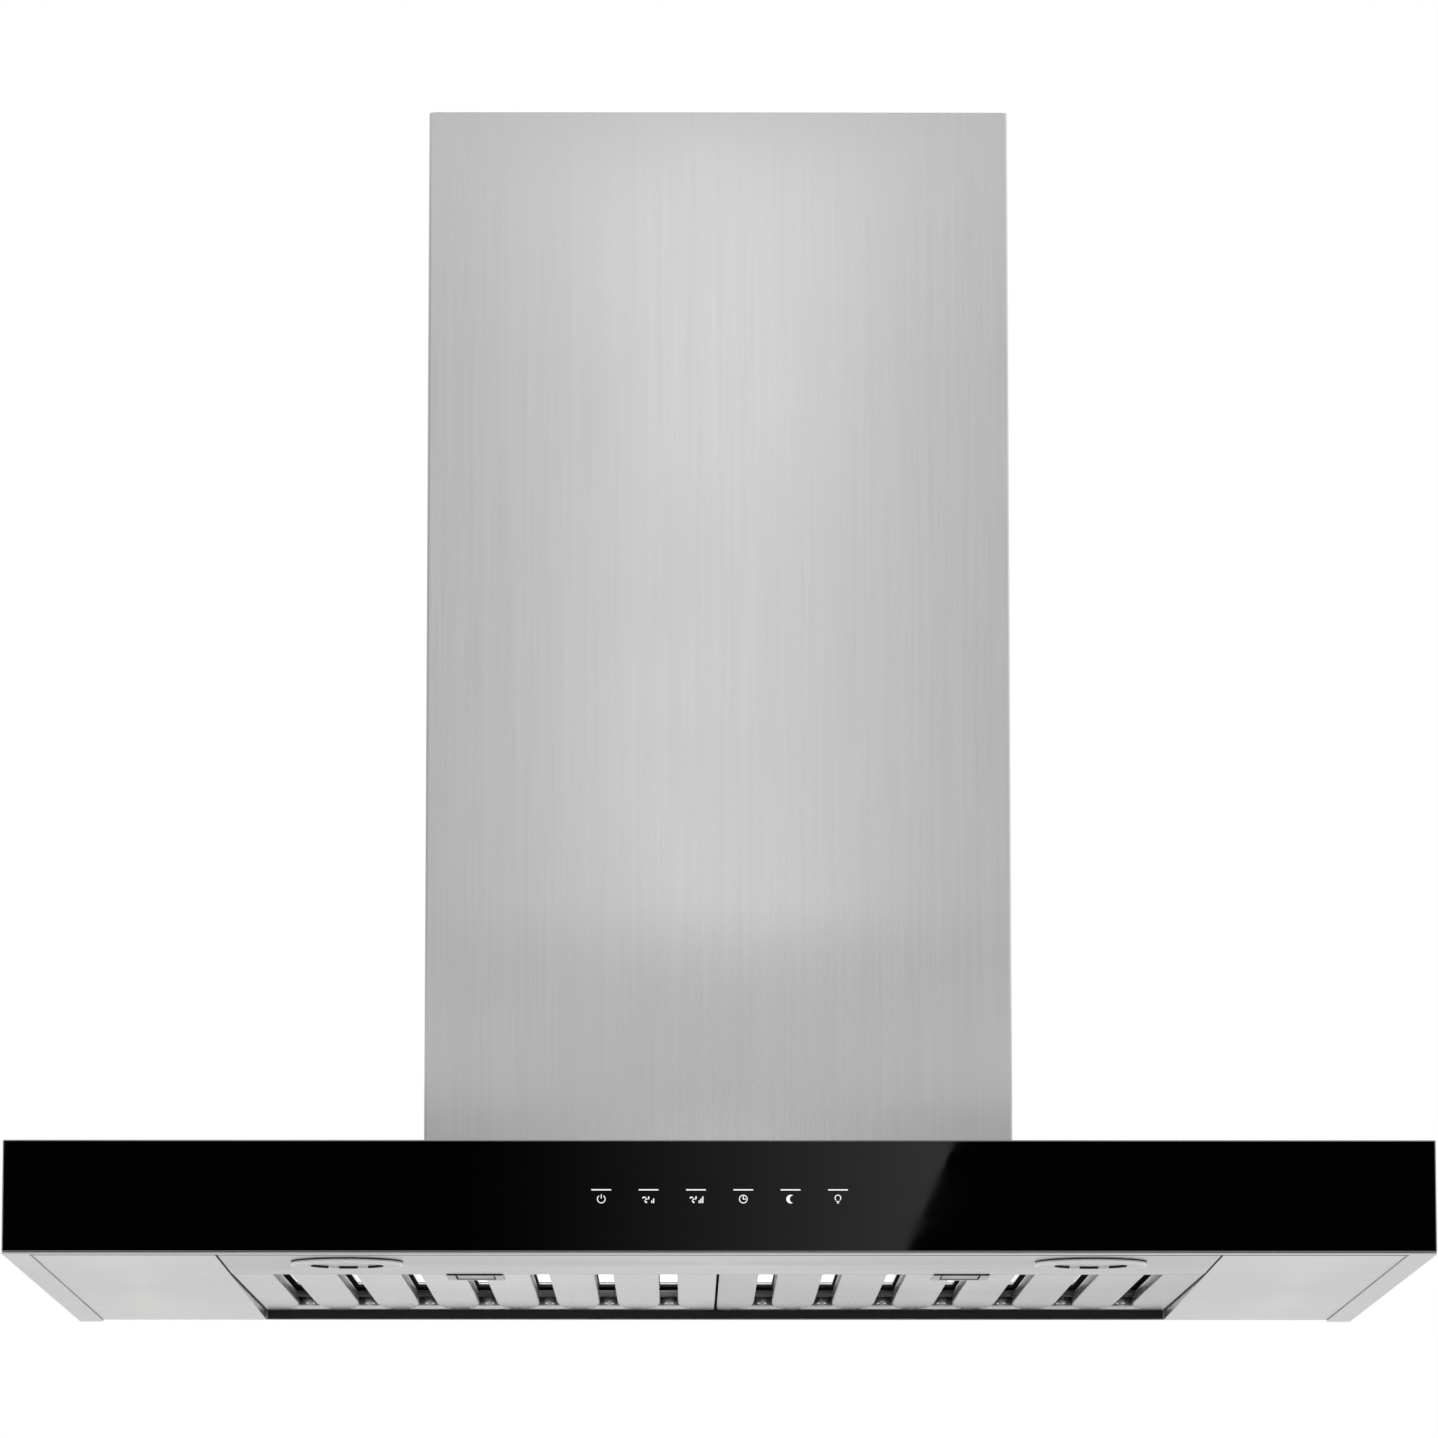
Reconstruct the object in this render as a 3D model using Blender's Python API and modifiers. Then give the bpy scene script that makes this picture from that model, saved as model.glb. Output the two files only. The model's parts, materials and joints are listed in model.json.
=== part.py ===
"""Island range hood: a glass-fronted steel canopy on a telescopic frame that hangs inside a chimney.

Frame: origin at the centre of the ceiling plane, +Z up, +X to the right seen from the front, the front
towards -Y. Every length is in metres. Run with: blender --background --python part.py
"""

import math

import bmesh
import bpy
from mathutils import Matrix, Vector

MM = 0.001
GAP = 0.3 * MM  # clearance between pieces that touch
PAST = 5 * MM  # how far a cutter runs past what it cuts

# ---- driving dimensions -------------------------------------------------------------------------------------
WIDTH = 900 * MM
DEPTH = 650 * MM
CANOPY_HEIGHT = 72 * MM
CHIMNEY_WIDTH = 384 * MM
CHIMNEY_DEPTH = 270 * MM
CANOPY_TOP = -702 * MM

SHEET = 1.0 * MM
GLASS = 4.0 * MM
FLANGE = 16.5 * MM  # bottom flange of the canopy's side walls
FRONT_FLANGE = 3 * MM
REAR_FLANGE = 13 * MM

CENTRE_BAY = 633 * MM  # light panel and filters, between the side panels
SEAM = 1.6 * MM
LIGHT_PANEL_REAR = 195 * MM  # from the glass
FILTER_FRONT = 196.2 * MM  # from the glass
FILTER_REAR = 634 * MM  # from the glass
FILTER_RISE = 5.7 * MM  # rear edge above the front edge
PANEL_RIM = 12 * MM
RAIL_HEIGHT = 12.5 * MM  # the dark rail behind the filters

SLOT_COUNT = 7
SLOT_PITCH = 42 * MM
SLOT_WIDTH = 15 * MM
SLOT_FLARE = 23 * MM
SLOT_FRONT = 3 * MM
SLOT_REAR = 36 * MM
FILTER_HEIGHT = 20 * MM

LAMP_X = 237 * MM
LAMP_Y = 83 * MM  # from the glass
BEZEL_RADIUS = 36 * MM
BEZEL_DROP = 3.2 * MM
LENS_RADIUS = 23.2 * MM

LATCH_WIDTH = 37 * MM
LATCH_DEPTH = 46 * MM
SLIDER_WIDTH = 24.4 * MM
SLIDER_LENGTH = 34 * MM
SLIDER_TOP = 4.6 * MM
HOUSING_TOP = 9 * MM

DUCT_RADIUS = 75 * MM
COLLAR_HEIGHT = 50 * MM
COLLAR_FLANGE = 86 * MM
OUTLET_RISE = 246 * MM  # the casing's outlet above the canopy
WHEEL_RISE = 126 * MM  # the wheel's centre above the canopy
SCROLL_START = 66 * MM
SCROLL_END = 96 * MM
SCROLL_TONGUE_DEG = 70
SCROLL_WIDTH = 120 * MM
OUTLET_HALF = 50 * MM
IMPELLER_RADIUS = 60 * MM
IMPELLER_WIDTH = 104 * MM
BLADE_COUNT = 20
MOTOR_RADIUS = 36 * MM
SHAFT_RADIUS = 5 * MM
FLAP_RADIUS = 72.5 * MM
FLAP_HINGE_Y = 3.2 * MM

# ---- places worked out from them ----------------------------------------------------------------------------
FRONT = -DEPTH / 2
REAR = DEPTH / 2
CANOPY_BOTTOM = CANOPY_TOP - CANOPY_HEIGHT
PANEL_BOTTOM = CANOPY_BOTTOM + SHEET + GAP  # the panels lie on the shell's flanges
SHELL_FRONT = FRONT + GLASS + GAP
BAY_HALF = CENTRE_BAY / 2
SCROLL_TOP = CANOPY_TOP + OUTLET_RISE
SCROLL_CENTRE_Y = OUTLET_HALF - SCROLL_END
SCROLL_CENTRE_Z = CANOPY_TOP + WHEEL_RISE
TOP_FRAME_BOTTOM = CANOPY_TOP + GAP
TOP_FRAME_THICK = 2.5 * MM
RAIL_BOTTOM = TOP_FRAME_BOTTOM + TOP_FRAME_THICK + GAP
RAIL_THICK = 2.5 * MM
FOOT = RAIL_BOTTOM + RAIL_THICK + GAP
SIDE_PLATE = 1.2 * MM
COLLAR_BOTTOM = SCROLL_TOP + GAP
FLAP_Z = COLLAR_BOTTOM + 18 * MM

COLOURS = {
    "steel": ((0.62, 0.62, 0.62), 0.32, 1.0),
    "zinc": ((0.55, 0.57, 0.58), 0.45, 1.0),
    "chrome": ((0.80, 0.80, 0.80), 0.08, 1.0),
    "black_glass": ((0.004, 0.004, 0.005), 0.04, 0.0),
    "lens": ((0.85, 0.85, 0.82), 0.25, 0.0),
    "black": ((0.02, 0.02, 0.02), 0.50, 0.0),
    "board": ((0.02, 0.16, 0.07), 0.45, 0.0),
    "lead": ((0.55, 0.55, 0.56), 0.55, 0.0),
    "spring": ((0.45, 0.45, 0.46), 0.30, 1.0),
}


# ---- shape helpers ------------------------------------------------------------------------------------------
def clear_scene():
    """Removes whatever the file opened with."""
    for old in list(bpy.data.objects):
        bpy.data.objects.remove(old, do_unlink=True)


def collection(name):
    """A collection of that name, linked to the scene."""
    made = bpy.data.collections.new(name)
    bpy.context.scene.collection.children.link(made)
    return made


def material(name):
    """The Principled material of that name in COLOURS."""
    found = bpy.data.materials.get(name)
    if found:
        return found
    colour, roughness, metallic = COLOURS[name]
    made = bpy.data.materials.new(name)
    made.use_nodes = True
    shader = made.node_tree.nodes["Principled BSDF"]
    shader.inputs["Base Color"].default_value = (*colour, 1.0)
    shader.inputs["Roughness"].default_value = roughness
    shader.inputs["Metallic"].default_value = metallic
    return made


def place(name, data, finish, parent=None, home=None):
    """An object of that name with its material, in the parts' collection unless another is given."""
    obj = bpy.data.objects.new(name, data)
    (home or PARTS).objects.link(obj)
    if finish:
        data.materials.append(material(finish))
    obj.parent = parent
    return obj


def mesh_from(bm, name):
    """The bmesh as mesh data."""
    bmesh.ops.recalc_face_normals(bm, faces=bm.faces)
    data = bpy.data.meshes.new(name)
    bm.to_mesh(data)
    bm.free()
    return data


def box_mesh(name, low, high):
    """A box between two corners."""
    bm = bmesh.new()
    bmesh.ops.create_cube(bm, size=1.0)
    low, high = Vector(low), Vector(high)
    bmesh.ops.scale(bm, vec=high - low, verts=bm.verts)
    bmesh.ops.translate(bm, vec=(low + high) / 2, verts=bm.verts)
    return mesh_from(bm, name)


def box(name, low, high, finish, parent=None):
    """A box-shaped part."""
    return place(name, box_mesh(name, low, high), finish, parent)


def bevel(obj, width, segments=2, angle=40):
    """Rounds the part's sharp edges."""
    made = obj.modifiers.new("edges", "BEVEL")
    made.width = width
    made.segments = segments
    made.limit_method = "ANGLE"
    made.angle_limit = math.radians(angle)
    return obj


def cutter_box(name, low, high, parent=None):
    """A box that only cuts other parts."""
    return hide(place(name, box_mesh(name, low, high), None, parent, CUTTERS))


def cutter_cylinder(name, centre, radius, length, axis="Z", sides=48, parent=None):
    """A cylinder that only cuts other parts."""
    bm = bmesh.new()
    bmesh.ops.create_cone(
        bm, cap_ends=True, segments=sides, radius1=radius, radius2=radius, depth=length
    )
    turn = {"X": Matrix.Rotation(math.pi / 2, 4, "Y"), "Y": Matrix.Rotation(math.pi / 2, 4, "X")}
    if axis in turn:
        bmesh.ops.transform(bm, matrix=turn[axis], verts=bm.verts)
    bmesh.ops.translate(bm, vec=centre, verts=bm.verts)
    return hide(place(name, mesh_from(bm, name), None, parent, CUTTERS))


def hide(obj):
    """Marks a cutter."""
    obj.hide_render = True
    obj.display_type = "WIRE"
    return obj


def combine(obj, other, operation="DIFFERENCE"):
    """Adds a Boolean modifier."""
    made = obj.modifiers.new(other.name, "BOOLEAN")
    made.operation = operation
    made.object = other
    made.solver = "EXACT"
    return obj


def wall(name, path, low, high, finish, thickness=SHEET):
    """A sheet standing on a path in the XY plane, from height low to high, thickened to its inner side."""
    bm = bmesh.new()
    bottom = [bm.verts.new((x, y, low)) for x, y in path]
    top = [bm.verts.new((x, y, high)) for x, y in path]
    for i, j in zip(range(len(path)), range(1, len(path))):
        bm.faces.new((bottom[i], bottom[j], top[j], top[i]))
    data = bpy.data.meshes.new(name)
    bm.to_mesh(data)
    bm.free()
    obj = place(name, data, finish)
    made = obj.modifiers.new("thickness", "SOLIDIFY")
    made.thickness = thickness
    made.offset = -1.0
    made.use_even_offset = True
    return obj


def turned(name, profile, finish, centre=(0, 0, 0), steps=36, axis="Z"):
    """A profile of (radius, height) pairs, down its outer side and back up its inner side, turned once.

    A profile that starts and ends off the axis is closed into a ring; one that touches the axis is solid.
    """
    bm = bmesh.new()
    verts = [bm.verts.new((r, 0, z)) for r, z in profile]
    for a, b in zip(verts, verts[1:]):
        bm.edges.new((a, b))
    if profile[0][0] > 0:
        bm.edges.new((verts[-1], verts[0]))
    data = bpy.data.meshes.new(name)
    bm.to_mesh(data)
    bm.free()
    obj = place(name, data, finish)
    screw = obj.modifiers.new("turn", "SCREW")
    screw.axis = "Z"
    screw.steps = steps
    screw.render_steps = steps
    screw.use_merge_vertices = True
    screw.merge_threshold = 0.00005
    screw.use_smooth_shade = True
    obj.location = centre
    if axis == "X":
        obj.rotation_euler = (0, math.pi / 2, 0)
    return obj


def outline_mesh(name, loops, thickness):
    """A flat outline, with holes after its first loop, as a welded mesh standing thickness high on z = 0."""
    curve = bpy.data.curves.new(name, "CURVE")
    curve.dimensions = "2D"
    curve.fill_mode = "BOTH"
    curve.extrude = thickness / 2
    for loop in loops:
        spline = curve.splines.new("POLY")
        spline.points.add(len(loop) - 1)
        for point, (x, y) in zip(spline.points, loop):
            point.co = (x, y, 0, 1)
        spline.use_cyclic_u = True
    obj = bpy.data.objects.new(name, curve)
    bpy.context.scene.collection.objects.link(obj)
    bpy.context.view_layer.update()
    seen = obj.evaluated_get(bpy.context.evaluated_depsgraph_get())
    data = bpy.data.meshes.new_from_object(seen)
    bpy.data.objects.remove(obj)
    bm = bmesh.new()
    bm.from_mesh(data)
    bmesh.ops.remove_doubles(bm, verts=bm.verts, dist=0.000005)
    bmesh.ops.translate(bm, vec=(0, 0, thickness / 2), verts=bm.verts)
    bmesh.ops.recalc_face_normals(bm, faces=bm.faces)
    bm.to_mesh(data)
    bm.free()
    data.materials.clear()
    return data


def plate(name, loops, thickness, finish, location=(0, 0, 0), rotation=(0, 0, 0), parent=None):
    """A flat part cut from sheet."""
    obj = place(name, outline_mesh(name, loops, thickness), finish, parent)
    obj.location = location
    obj.rotation_euler = rotation
    return obj


def rectangle(x0, y0, x1, y1):
    """The corners of a rectangle."""
    return [(x0, y0), (x1, y0), (x1, y1), (x0, y1)]


def arc(cx, cy, radius, start, end, count):
    """Points on a circle's arc, angles in degrees, both ends included."""
    step = math.radians(end - start) / (count - 1)
    first = math.radians(start)
    return [
        (cx + radius * math.cos(first + step * i), cy + radius * math.sin(first + step * i))
        for i in range(count)
    ]


def circle(cx, cy, radius, count):
    """Points round a circle."""
    return arc(cx, cy, radius, 0, 360 - 360 / count, count)


def smooth_path(points, spacing):
    """A Catmull-Rom curve through the points, a point about every spacing."""
    spots = [Vector(p) for p in points]
    spots = [spots[0] * 2 - spots[1], *spots, spots[-1] * 2 - spots[-2]]
    found = []
    for a, b, c, d in zip(spots, spots[1:], spots[2:], spots[3:]):
        count = max(1, round((c - b).length / spacing))
        for i in range(count):
            t = i / count
            square = (2 * a - 5 * b + 4 * c - d) * t**2
            cube = (3 * b - a - 3 * c + d) * t**3
            found.append(0.5 * (2 * b + (c - a) * t + square + cube))
    return [*found, spots[-2]]


def wire(name, points, radius, finish, resolution, parent=None):
    """A round wire or lead along the points."""
    curve = bpy.data.curves.new(name, "CURVE")
    curve.dimensions = "3D"
    curve.bevel_depth = radius
    curve.bevel_resolution = resolution
    curve.use_fill_caps = True
    spline = curve.splines.new("POLY")
    spline.points.add(len(points) - 1)
    for point, spot in zip(spline.points, points):
        point.co = (*spot, 1)
    return place(name, curve, finish, parent)


def pivot(name, location, rotation=(0, 0, 0)):
    """An empty on a joint's axis."""
    obj = bpy.data.objects.new(name, None)
    PARTS.objects.link(obj)
    obj.location = location
    obj.rotation_euler = rotation
    return obj


# ---- ceiling frame ------------------------------------------------------------------------------------------
NESTING = 1.8 * MM  # from the lower section's outside to the upper one's
UPPER_SHEET = 0.8 * MM
UPPER_COVER_X = CHIMNEY_WIDTH / 2 - NESTING
UPPER_COVER_Y = CHIMNEY_DEPTH / 2 - NESTING
UPPER_COVER_BOTTOM = -450 * MM
SKIRT_GAP = 0.9 * MM
PLATE_X = UPPER_COVER_X - UPPER_SHEET - SKIRT_GAP
PLATE_Y = UPPER_COVER_Y - UPPER_SHEET - SKIRT_GAP
PLATE_THICK = 3 * MM
PLATE_SKIRT = 22 * MM
SLOT_SPOT = (135 * MM, 98 * MM)  # the fixing slots, from the centre
POST_X = 178 * MM
POST_Y = 121 * MM
POST_LEG = 20 * MM
POST_SHEET = 2 * MM
POST_HOLES = 5
POST_HOLE_PITCH = 50 * MM
UPPER_POST_BOTTOM = -400 * MM
LOWER_POST_TOP = -PLATE_SKIRT - 6 * MM
CORNERS = {"front_left": (-1, -1), "front_right": (1, -1), "rear_left": (-1, 1), "rear_right": (1, 1)}


def ceiling_plate():
    """The plate on the ceiling: a duct opening, four fixing slots and a skirt for the cover's screws."""
    obj = box("ceiling_plate", (-PLATE_X, -PLATE_Y, -PLATE_SKIRT), (PLATE_X, PLATE_Y, 0), "zinc")
    inner_x, inner_y = PLATE_X - SIDE_PLATE, PLATE_Y - SIDE_PLATE
    hollow = cutter_box(
        "plate_hollow", (-inner_x, -inner_y, -PLATE_SKIRT - PAST), (inner_x, inner_y, -PLATE_THICK)
    )
    combine(obj, hollow)
    duct_room = DUCT_RADIUS + 8 * MM
    combine(obj, cutter_cylinder("plate_duct_hole", (0, 0, 0), duct_room, 4 * PAST))
    half_x, half_y = 12 * MM, 3.5 * MM
    for name, (sx, sy) in CORNERS.items():
        x, y = sx * SLOT_SPOT[0], sy * SLOT_SPOT[1]
        low = (x - half_x, y - half_y, -PLATE_THICK - PAST)
        combine(obj, cutter_box(f"slot_{name}", low, (x + half_x, y + half_y, PAST)))


def angle_outline(sx, sy, leg, thick):
    """An L section with its outer corner on the origin and its legs running inwards."""
    points = [(0, 0), (leg, 0), (leg, thick), (thick, thick), (thick, leg), (0, leg)]
    return [(-sx * x, -sy * y) for x, y in points]


def posts():
    """Upper angle posts hanging from the plate, and lower ones nested in them on the canopy's frame."""
    top = -PLATE_THICK - GAP
    bottom = TOP_FRAME_BOTTOM + TOP_FRAME_THICK + GAP
    inset = POST_SHEET + GAP
    for name, (sx, sy) in CORNERS.items():
        upper = plate(
            f"upper_post_{name}",
            [angle_outline(sx, sy, POST_LEG, POST_SHEET)],
            top - UPPER_POST_BOTTOM,
            "zinc",
            (sx * POST_X, sy * POST_Y, UPPER_POST_BOTTOM),
        )
        for i in range(POST_HOLES):
            z = UPPER_POST_BOTTOM + 20 * MM + i * POST_HOLE_PITCH
            spot = (sx * (POST_X - POST_LEG / 2 - 1 * MM), sy * POST_Y, z)
            hole = cutter_cylinder(f"upper_hole_{name}_{i}", spot, 2.6 * MM, 12 * MM, "Y", 10)
            combine(upper, hole)
        plate(
            f"lower_post_{name}",
            [angle_outline(sx, sy, POST_LEG - inset, POST_SHEET)],
            LOWER_POST_TOP - bottom,
            "zinc",
            (sx * (POST_X - inset), sy * (POST_Y - inset), bottom),
        )


def cover_path(half_x, half_y, side, radius):
    """Half of a chimney section from above: a U with bent corners, open along the middle of the sides."""
    seam_half = 0.35 * MM
    corner_r = arc(half_x - radius, half_y - radius, radius, 0, 90, 4)
    corner_l = arc(-half_x + radius, half_y - radius, radius, 90, 180, 4)
    path = [(half_x, seam_half), *corner_r, *corner_l, (-half_x, seam_half)]
    return [(x, y * side) for x, y in path] if side > 0 else [(x, -y) for x, y in reversed(path)]


def chimney_covers():
    """The two halves of the lower section, which shows, and of the upper one nested in it."""
    for name, side in (("front", -1), ("rear", 1)):
        wall(
            f"lower_cover_{name}",
            cover_path(CHIMNEY_WIDTH / 2, CHIMNEY_DEPTH / 2, side, 2 * MM),
            CANOPY_TOP + GAP,
            -1 * MM,
            "steel",
        )
        wall(
            f"upper_cover_{name}",
            cover_path(UPPER_COVER_X, UPPER_COVER_Y, side, 1.5 * MM),
            UPPER_COVER_BOTTOM,
            -0.6 * MM,
            "steel",
            UPPER_SHEET,
        )


# ---- canopy -------------------------------------------------------------------------------------------------
TOP_HOLE = (170 * MM, 113 * MM)  # half the opening under the chimney
WINDOW_HALF = 158 * MM  # half the opening behind the touch keys
WINDOW_BAND = (60 * MM, 12 * MM)  # its lower and upper edges, below the canopy's top


def canopy_shell():
    """A folded steel box: bottom flanges all round, a lip under the glass and an opening on top."""
    half = WIDTH / 2
    obj = box("canopy_shell", (-half, SHELL_FRONT, CANOPY_BOTTOM), (half, REAR, CANOPY_TOP), "steel")
    lip = cutter_box(
        "shell_lip", (-half, FRONT + GAP, CANOPY_BOTTOM), (half, SHELL_FRONT + SHEET, CANOPY_BOTTOM + SHEET)
    )
    combine(obj, lip, "UNION")
    inside = cutter_box(
        "shell_inside",
        (-half + SHEET, SHELL_FRONT + SHEET, CANOPY_BOTTOM + SHEET),
        (half - SHEET, REAR - SHEET, CANOPY_TOP - SHEET),
    )
    mouth = cutter_box(
        "shell_mouth",
        (-half + FLANGE, SHELL_FRONT + FRONT_FLANGE, CANOPY_BOTTOM - PAST),
        (half - FLANGE, REAR - REAR_FLANGE, CANOPY_BOTTOM + PAST),
    )
    hole_x, hole_y = TOP_HOLE
    top_hole = cutter_box(
        "shell_top_hole", (-hole_x, -hole_y, CANOPY_TOP - PAST), (hole_x, hole_y, CANOPY_TOP + PAST)
    )
    window = cutter_box(
        "shell_window",
        (-WINDOW_HALF, SHELL_FRONT - 2 * MM, CANOPY_TOP - WINDOW_BAND[0]),
        (WINDOW_HALF, SHELL_FRONT + PAST, CANOPY_TOP - WINDOW_BAND[1]),
    )
    for tool in (inside, mouth, top_hole, window):
        combine(obj, tool)


def front_glass():
    """The black glass that covers the whole front."""
    half = WIDTH / 2
    obj = box(
        "front_glass",
        (-half, FRONT, CANOPY_BOTTOM + SHEET + GAP),
        (half, FRONT + GLASS, CANOPY_TOP - GAP),
        "black_glass",
    )
    bevel(obj, 0.5 * MM, 1)


def tray(name, low_x, high_x, low_y, high_y):
    """A sheet panel whose edges are folded up."""
    top = PANEL_BOTTOM + PANEL_RIM
    obj = box(name, (low_x, low_y, PANEL_BOTTOM), (high_x, high_y, top), "steel")
    hollow = cutter_box(
        f"{name}_hollow",
        (low_x + SHEET, low_y + SHEET, PANEL_BOTTOM + SHEET),
        (high_x - SHEET, high_y - SHEET, top + PAST),
    )
    return combine(obj, hollow)


def underside():
    """The side panels, the light panel and the dark rail behind the filters."""
    panel_front = SHELL_FRONT + SHEET + GAP
    panel_rear = REAR - SHEET - GAP
    inner = BAY_HALF + SEAM
    outer = WIDTH / 2 - SHEET - GAP
    tray("side_panel_left", -outer, -inner, panel_front, panel_rear)
    tray("side_panel_right", inner, outer, panel_front, panel_rear)
    middle = tray("light_panel", -BAY_HALF, BAY_HALF, panel_front, FRONT + LIGHT_PANEL_REAR)
    lamp_hole = BEZEL_RADIUS - 4 * MM
    for name, side in (("left", -1), ("right", 1)):
        spot = (side * LAMP_X, FRONT + LAMP_Y, PANEL_BOTTOM)
        combine(middle, cutter_cylinder(f"lamp_hole_{name}", spot, lamp_hole, 2 * PAST, sides=40))
    # an L-shaped rail: its front leg shows under the filters, and their tabs rest on its upper leg
    front = FRONT + FILTER_REAR + 2 * MM
    top = PANEL_BOTTOM + RAIL_HEIGHT
    rail = box("rear_trim", (-BAY_HALF, front, PANEL_BOTTOM), (BAY_HALF, panel_rear, top), "black")
    hollow = cutter_box(
        "rail_hollow",
        (-BAY_HALF - PAST, front + SHEET, PANEL_BOTTOM - PAST),
        (BAY_HALF + PAST, panel_rear + PAST, top - SHEET),
    )
    combine(rail, hollow)


CAN_TOP = 52 * MM  # above the panel


def lamps():
    """A chromed bezel through the light panel, a frosted lens in it and the can above it, on each side."""
    drop = BEZEL_DROP
    neck = BEZEL_RADIUS - 4.6 * MM
    neck_top = 6 * MM
    bore = LENS_RADIUS + 0.6 * MM
    bezel = [
        (BEZEL_RADIUS, -GAP),
        (BEZEL_RADIUS, -drop * 0.45),
        (BEZEL_RADIUS - 1.2 * MM, -drop * 0.85),
        (BEZEL_RADIUS - 4 * MM, -drop),
        (LENS_RADIUS + 3 * MM, -drop),
        (bore, -drop * 0.5),
        (bore, neck_top),
        (neck, neck_top),
        (neck, -GAP),
    ]
    lens = [
        (0, 4.5 * MM),
        (LENS_RADIUS, 4.5 * MM),
        (LENS_RADIUS, 0.2 * MM),
        (LENS_RADIUS * 0.75, -0.7 * MM),
        (LENS_RADIUS * 0.4, -1.2 * MM),
        (0, -1.4 * MM),
    ]
    can_radius = neck - 0.5 * MM
    shoulder = 34 * MM
    can = [
        (0, CAN_TOP),
        (can_radius * 0.62, CAN_TOP),
        (can_radius, shoulder),
        (can_radius, neck_top + GAP),
        (can_radius - SHEET, neck_top + GAP),
        (can_radius - SHEET, shoulder - 0.4 * MM),
        (can_radius * 0.6, CAN_TOP - SHEET),
        (0, CAN_TOP - SHEET),
    ]
    for name, side in (("left", -1), ("right", 1)):
        centre = (side * LAMP_X, FRONT + LAMP_Y, PANEL_BOTTOM)
        turned(f"lamp_bezel_{name}", bezel, "chrome", centre, 40)
        turned(f"lamp_lens_{name}", lens, "lens", centre, 32)
        turned(f"lamp_can_{name}", can, "zinc", centre, 28)


# ---- electrics ----------------------------------------------------------------------------------------------
BOX_TOP = CANOPY_TOP - SHEET - GAP
CONTROL_BOX = (250 * MM, -60 * MM, 385 * MM, 50 * MM)
TERMINAL_BOX = (-375 * MM, -45 * MM, -280 * MM, 45 * MM)
BOX_DEPTH = 34 * MM
BOARD_HALF = 150 * MM
BOARD_BAND = (57 * MM, 15 * MM)  # the touch board's edges, below the canopy's top


def electrics():
    """The touch board behind the glass, the control box with its lid and the mains terminal box."""
    board_front = SHELL_FRONT + 0.1 * MM
    box(
        "touch_board",
        (-BOARD_HALF, board_front, CANOPY_TOP - BOARD_BAND[0]),
        (BOARD_HALF, board_front + 1.6 * MM, CANOPY_TOP - BOARD_BAND[1]),
        "board",
    )
    x0, y0, x1, y1 = CONTROL_BOX
    low = BOX_TOP - BOX_DEPTH
    control = box("control_box", (x0, y0, low), (x1, y1, BOX_TOP), "zinc")
    hollow = cutter_box(
        "control_hollow", (x0 + SHEET, y0 + SHEET, low - PAST), (x1 - SHEET, y1 - SHEET, BOX_TOP - SHEET)
    )
    combine(control, hollow)
    box(
        "control_box_lid",
        (x0 - SHEET, y0 - SHEET, low - GAP - SHEET),
        (x1 + SHEET, y1 + SHEET, low - GAP),
        "zinc",
    )
    x0, y0, x1, y1 = TERMINAL_BOX
    bevel(box("terminal_box", (x0, y0, low), (x1, y1, BOX_TOP), "black"), 3 * MM)


def leads():
    """The leads clipped along the inside of the canopy and up to the motor."""
    radius = 2.2 * MM
    spacing = 14 * MM
    shelf = BOX_TOP - 8 * MM
    box_x, box_front = CONTROL_BOX[0] - 2 * MM, CONTROL_BOX[1]
    can_top = PANEL_BOTTOM + CAN_TOP + 1 * MM
    lamp_y = FRONT + LAMP_Y
    routes = {
        "lamp_lead_right": [
            (LAMP_X, lamp_y, can_top),
            (LAMP_X, lamp_y + 0.5 * MM, can_top + 5 * MM),
            (LAMP_X + 22 * MM, lamp_y + 60 * MM, shelf),
            (CONTROL_BOX[0] + 30 * MM, box_front - 40 * MM, shelf),
            (CONTROL_BOX[0] + 32 * MM, box_front - 2 * MM, shelf - 3 * MM),
        ],
        "lamp_lead_left": [
            (-LAMP_X, lamp_y, can_top),
            (-LAMP_X, lamp_y + 0.5 * MM, can_top + 5 * MM),
            (-LAMP_X + 40 * MM, lamp_y + 55 * MM, shelf),
            (0, lamp_y + 62 * MM, shelf + 1 * MM),
            (200 * MM, lamp_y + 70 * MM, shelf),
            (box_x - 30 * MM, box_front + 20 * MM, shelf),
            (box_x, box_front + 24 * MM, shelf),
        ],
        "touch_lead": [
            (120 * MM, SHELL_FRONT + 4.5 * MM, CANOPY_TOP - 30 * MM),
            (122 * MM, SHELL_FRONT + 22 * MM, CANOPY_TOP - 26 * MM),
            (150 * MM, lamp_y + 20 * MM, shelf - 9 * MM),
            (190 * MM, lamp_y + 120 * MM, shelf - 9 * MM),
            (box_x - 34 * MM, box_front + 46 * MM, shelf),
            (box_x, box_front + 48 * MM, shelf),
        ],
        "motor_lead": [
            (box_x, box_front + 92 * MM, shelf),
            (box_x - 35 * MM, box_front + 104 * MM, shelf),
            (158 * MM, box_front + 126 * MM, shelf),
            (140 * MM, 68 * MM, CANOPY_TOP + 20 * MM),
            (122 * MM, 58 * MM, CANOPY_TOP + 70 * MM),
            (CAPACITOR_X + 4 * MM, CAPACITOR_Y, CAPACITOR_Z - CAPACITOR_RADIUS - 14 * MM),
            (CAPACITOR_X, CAPACITOR_Y, CAPACITOR_Z - CAPACITOR_RADIUS - 3 * MM),
        ],
    }
    for name, points in routes.items():
        wire(name, smooth_path(points, spacing), radius, "lead", 1)


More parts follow.
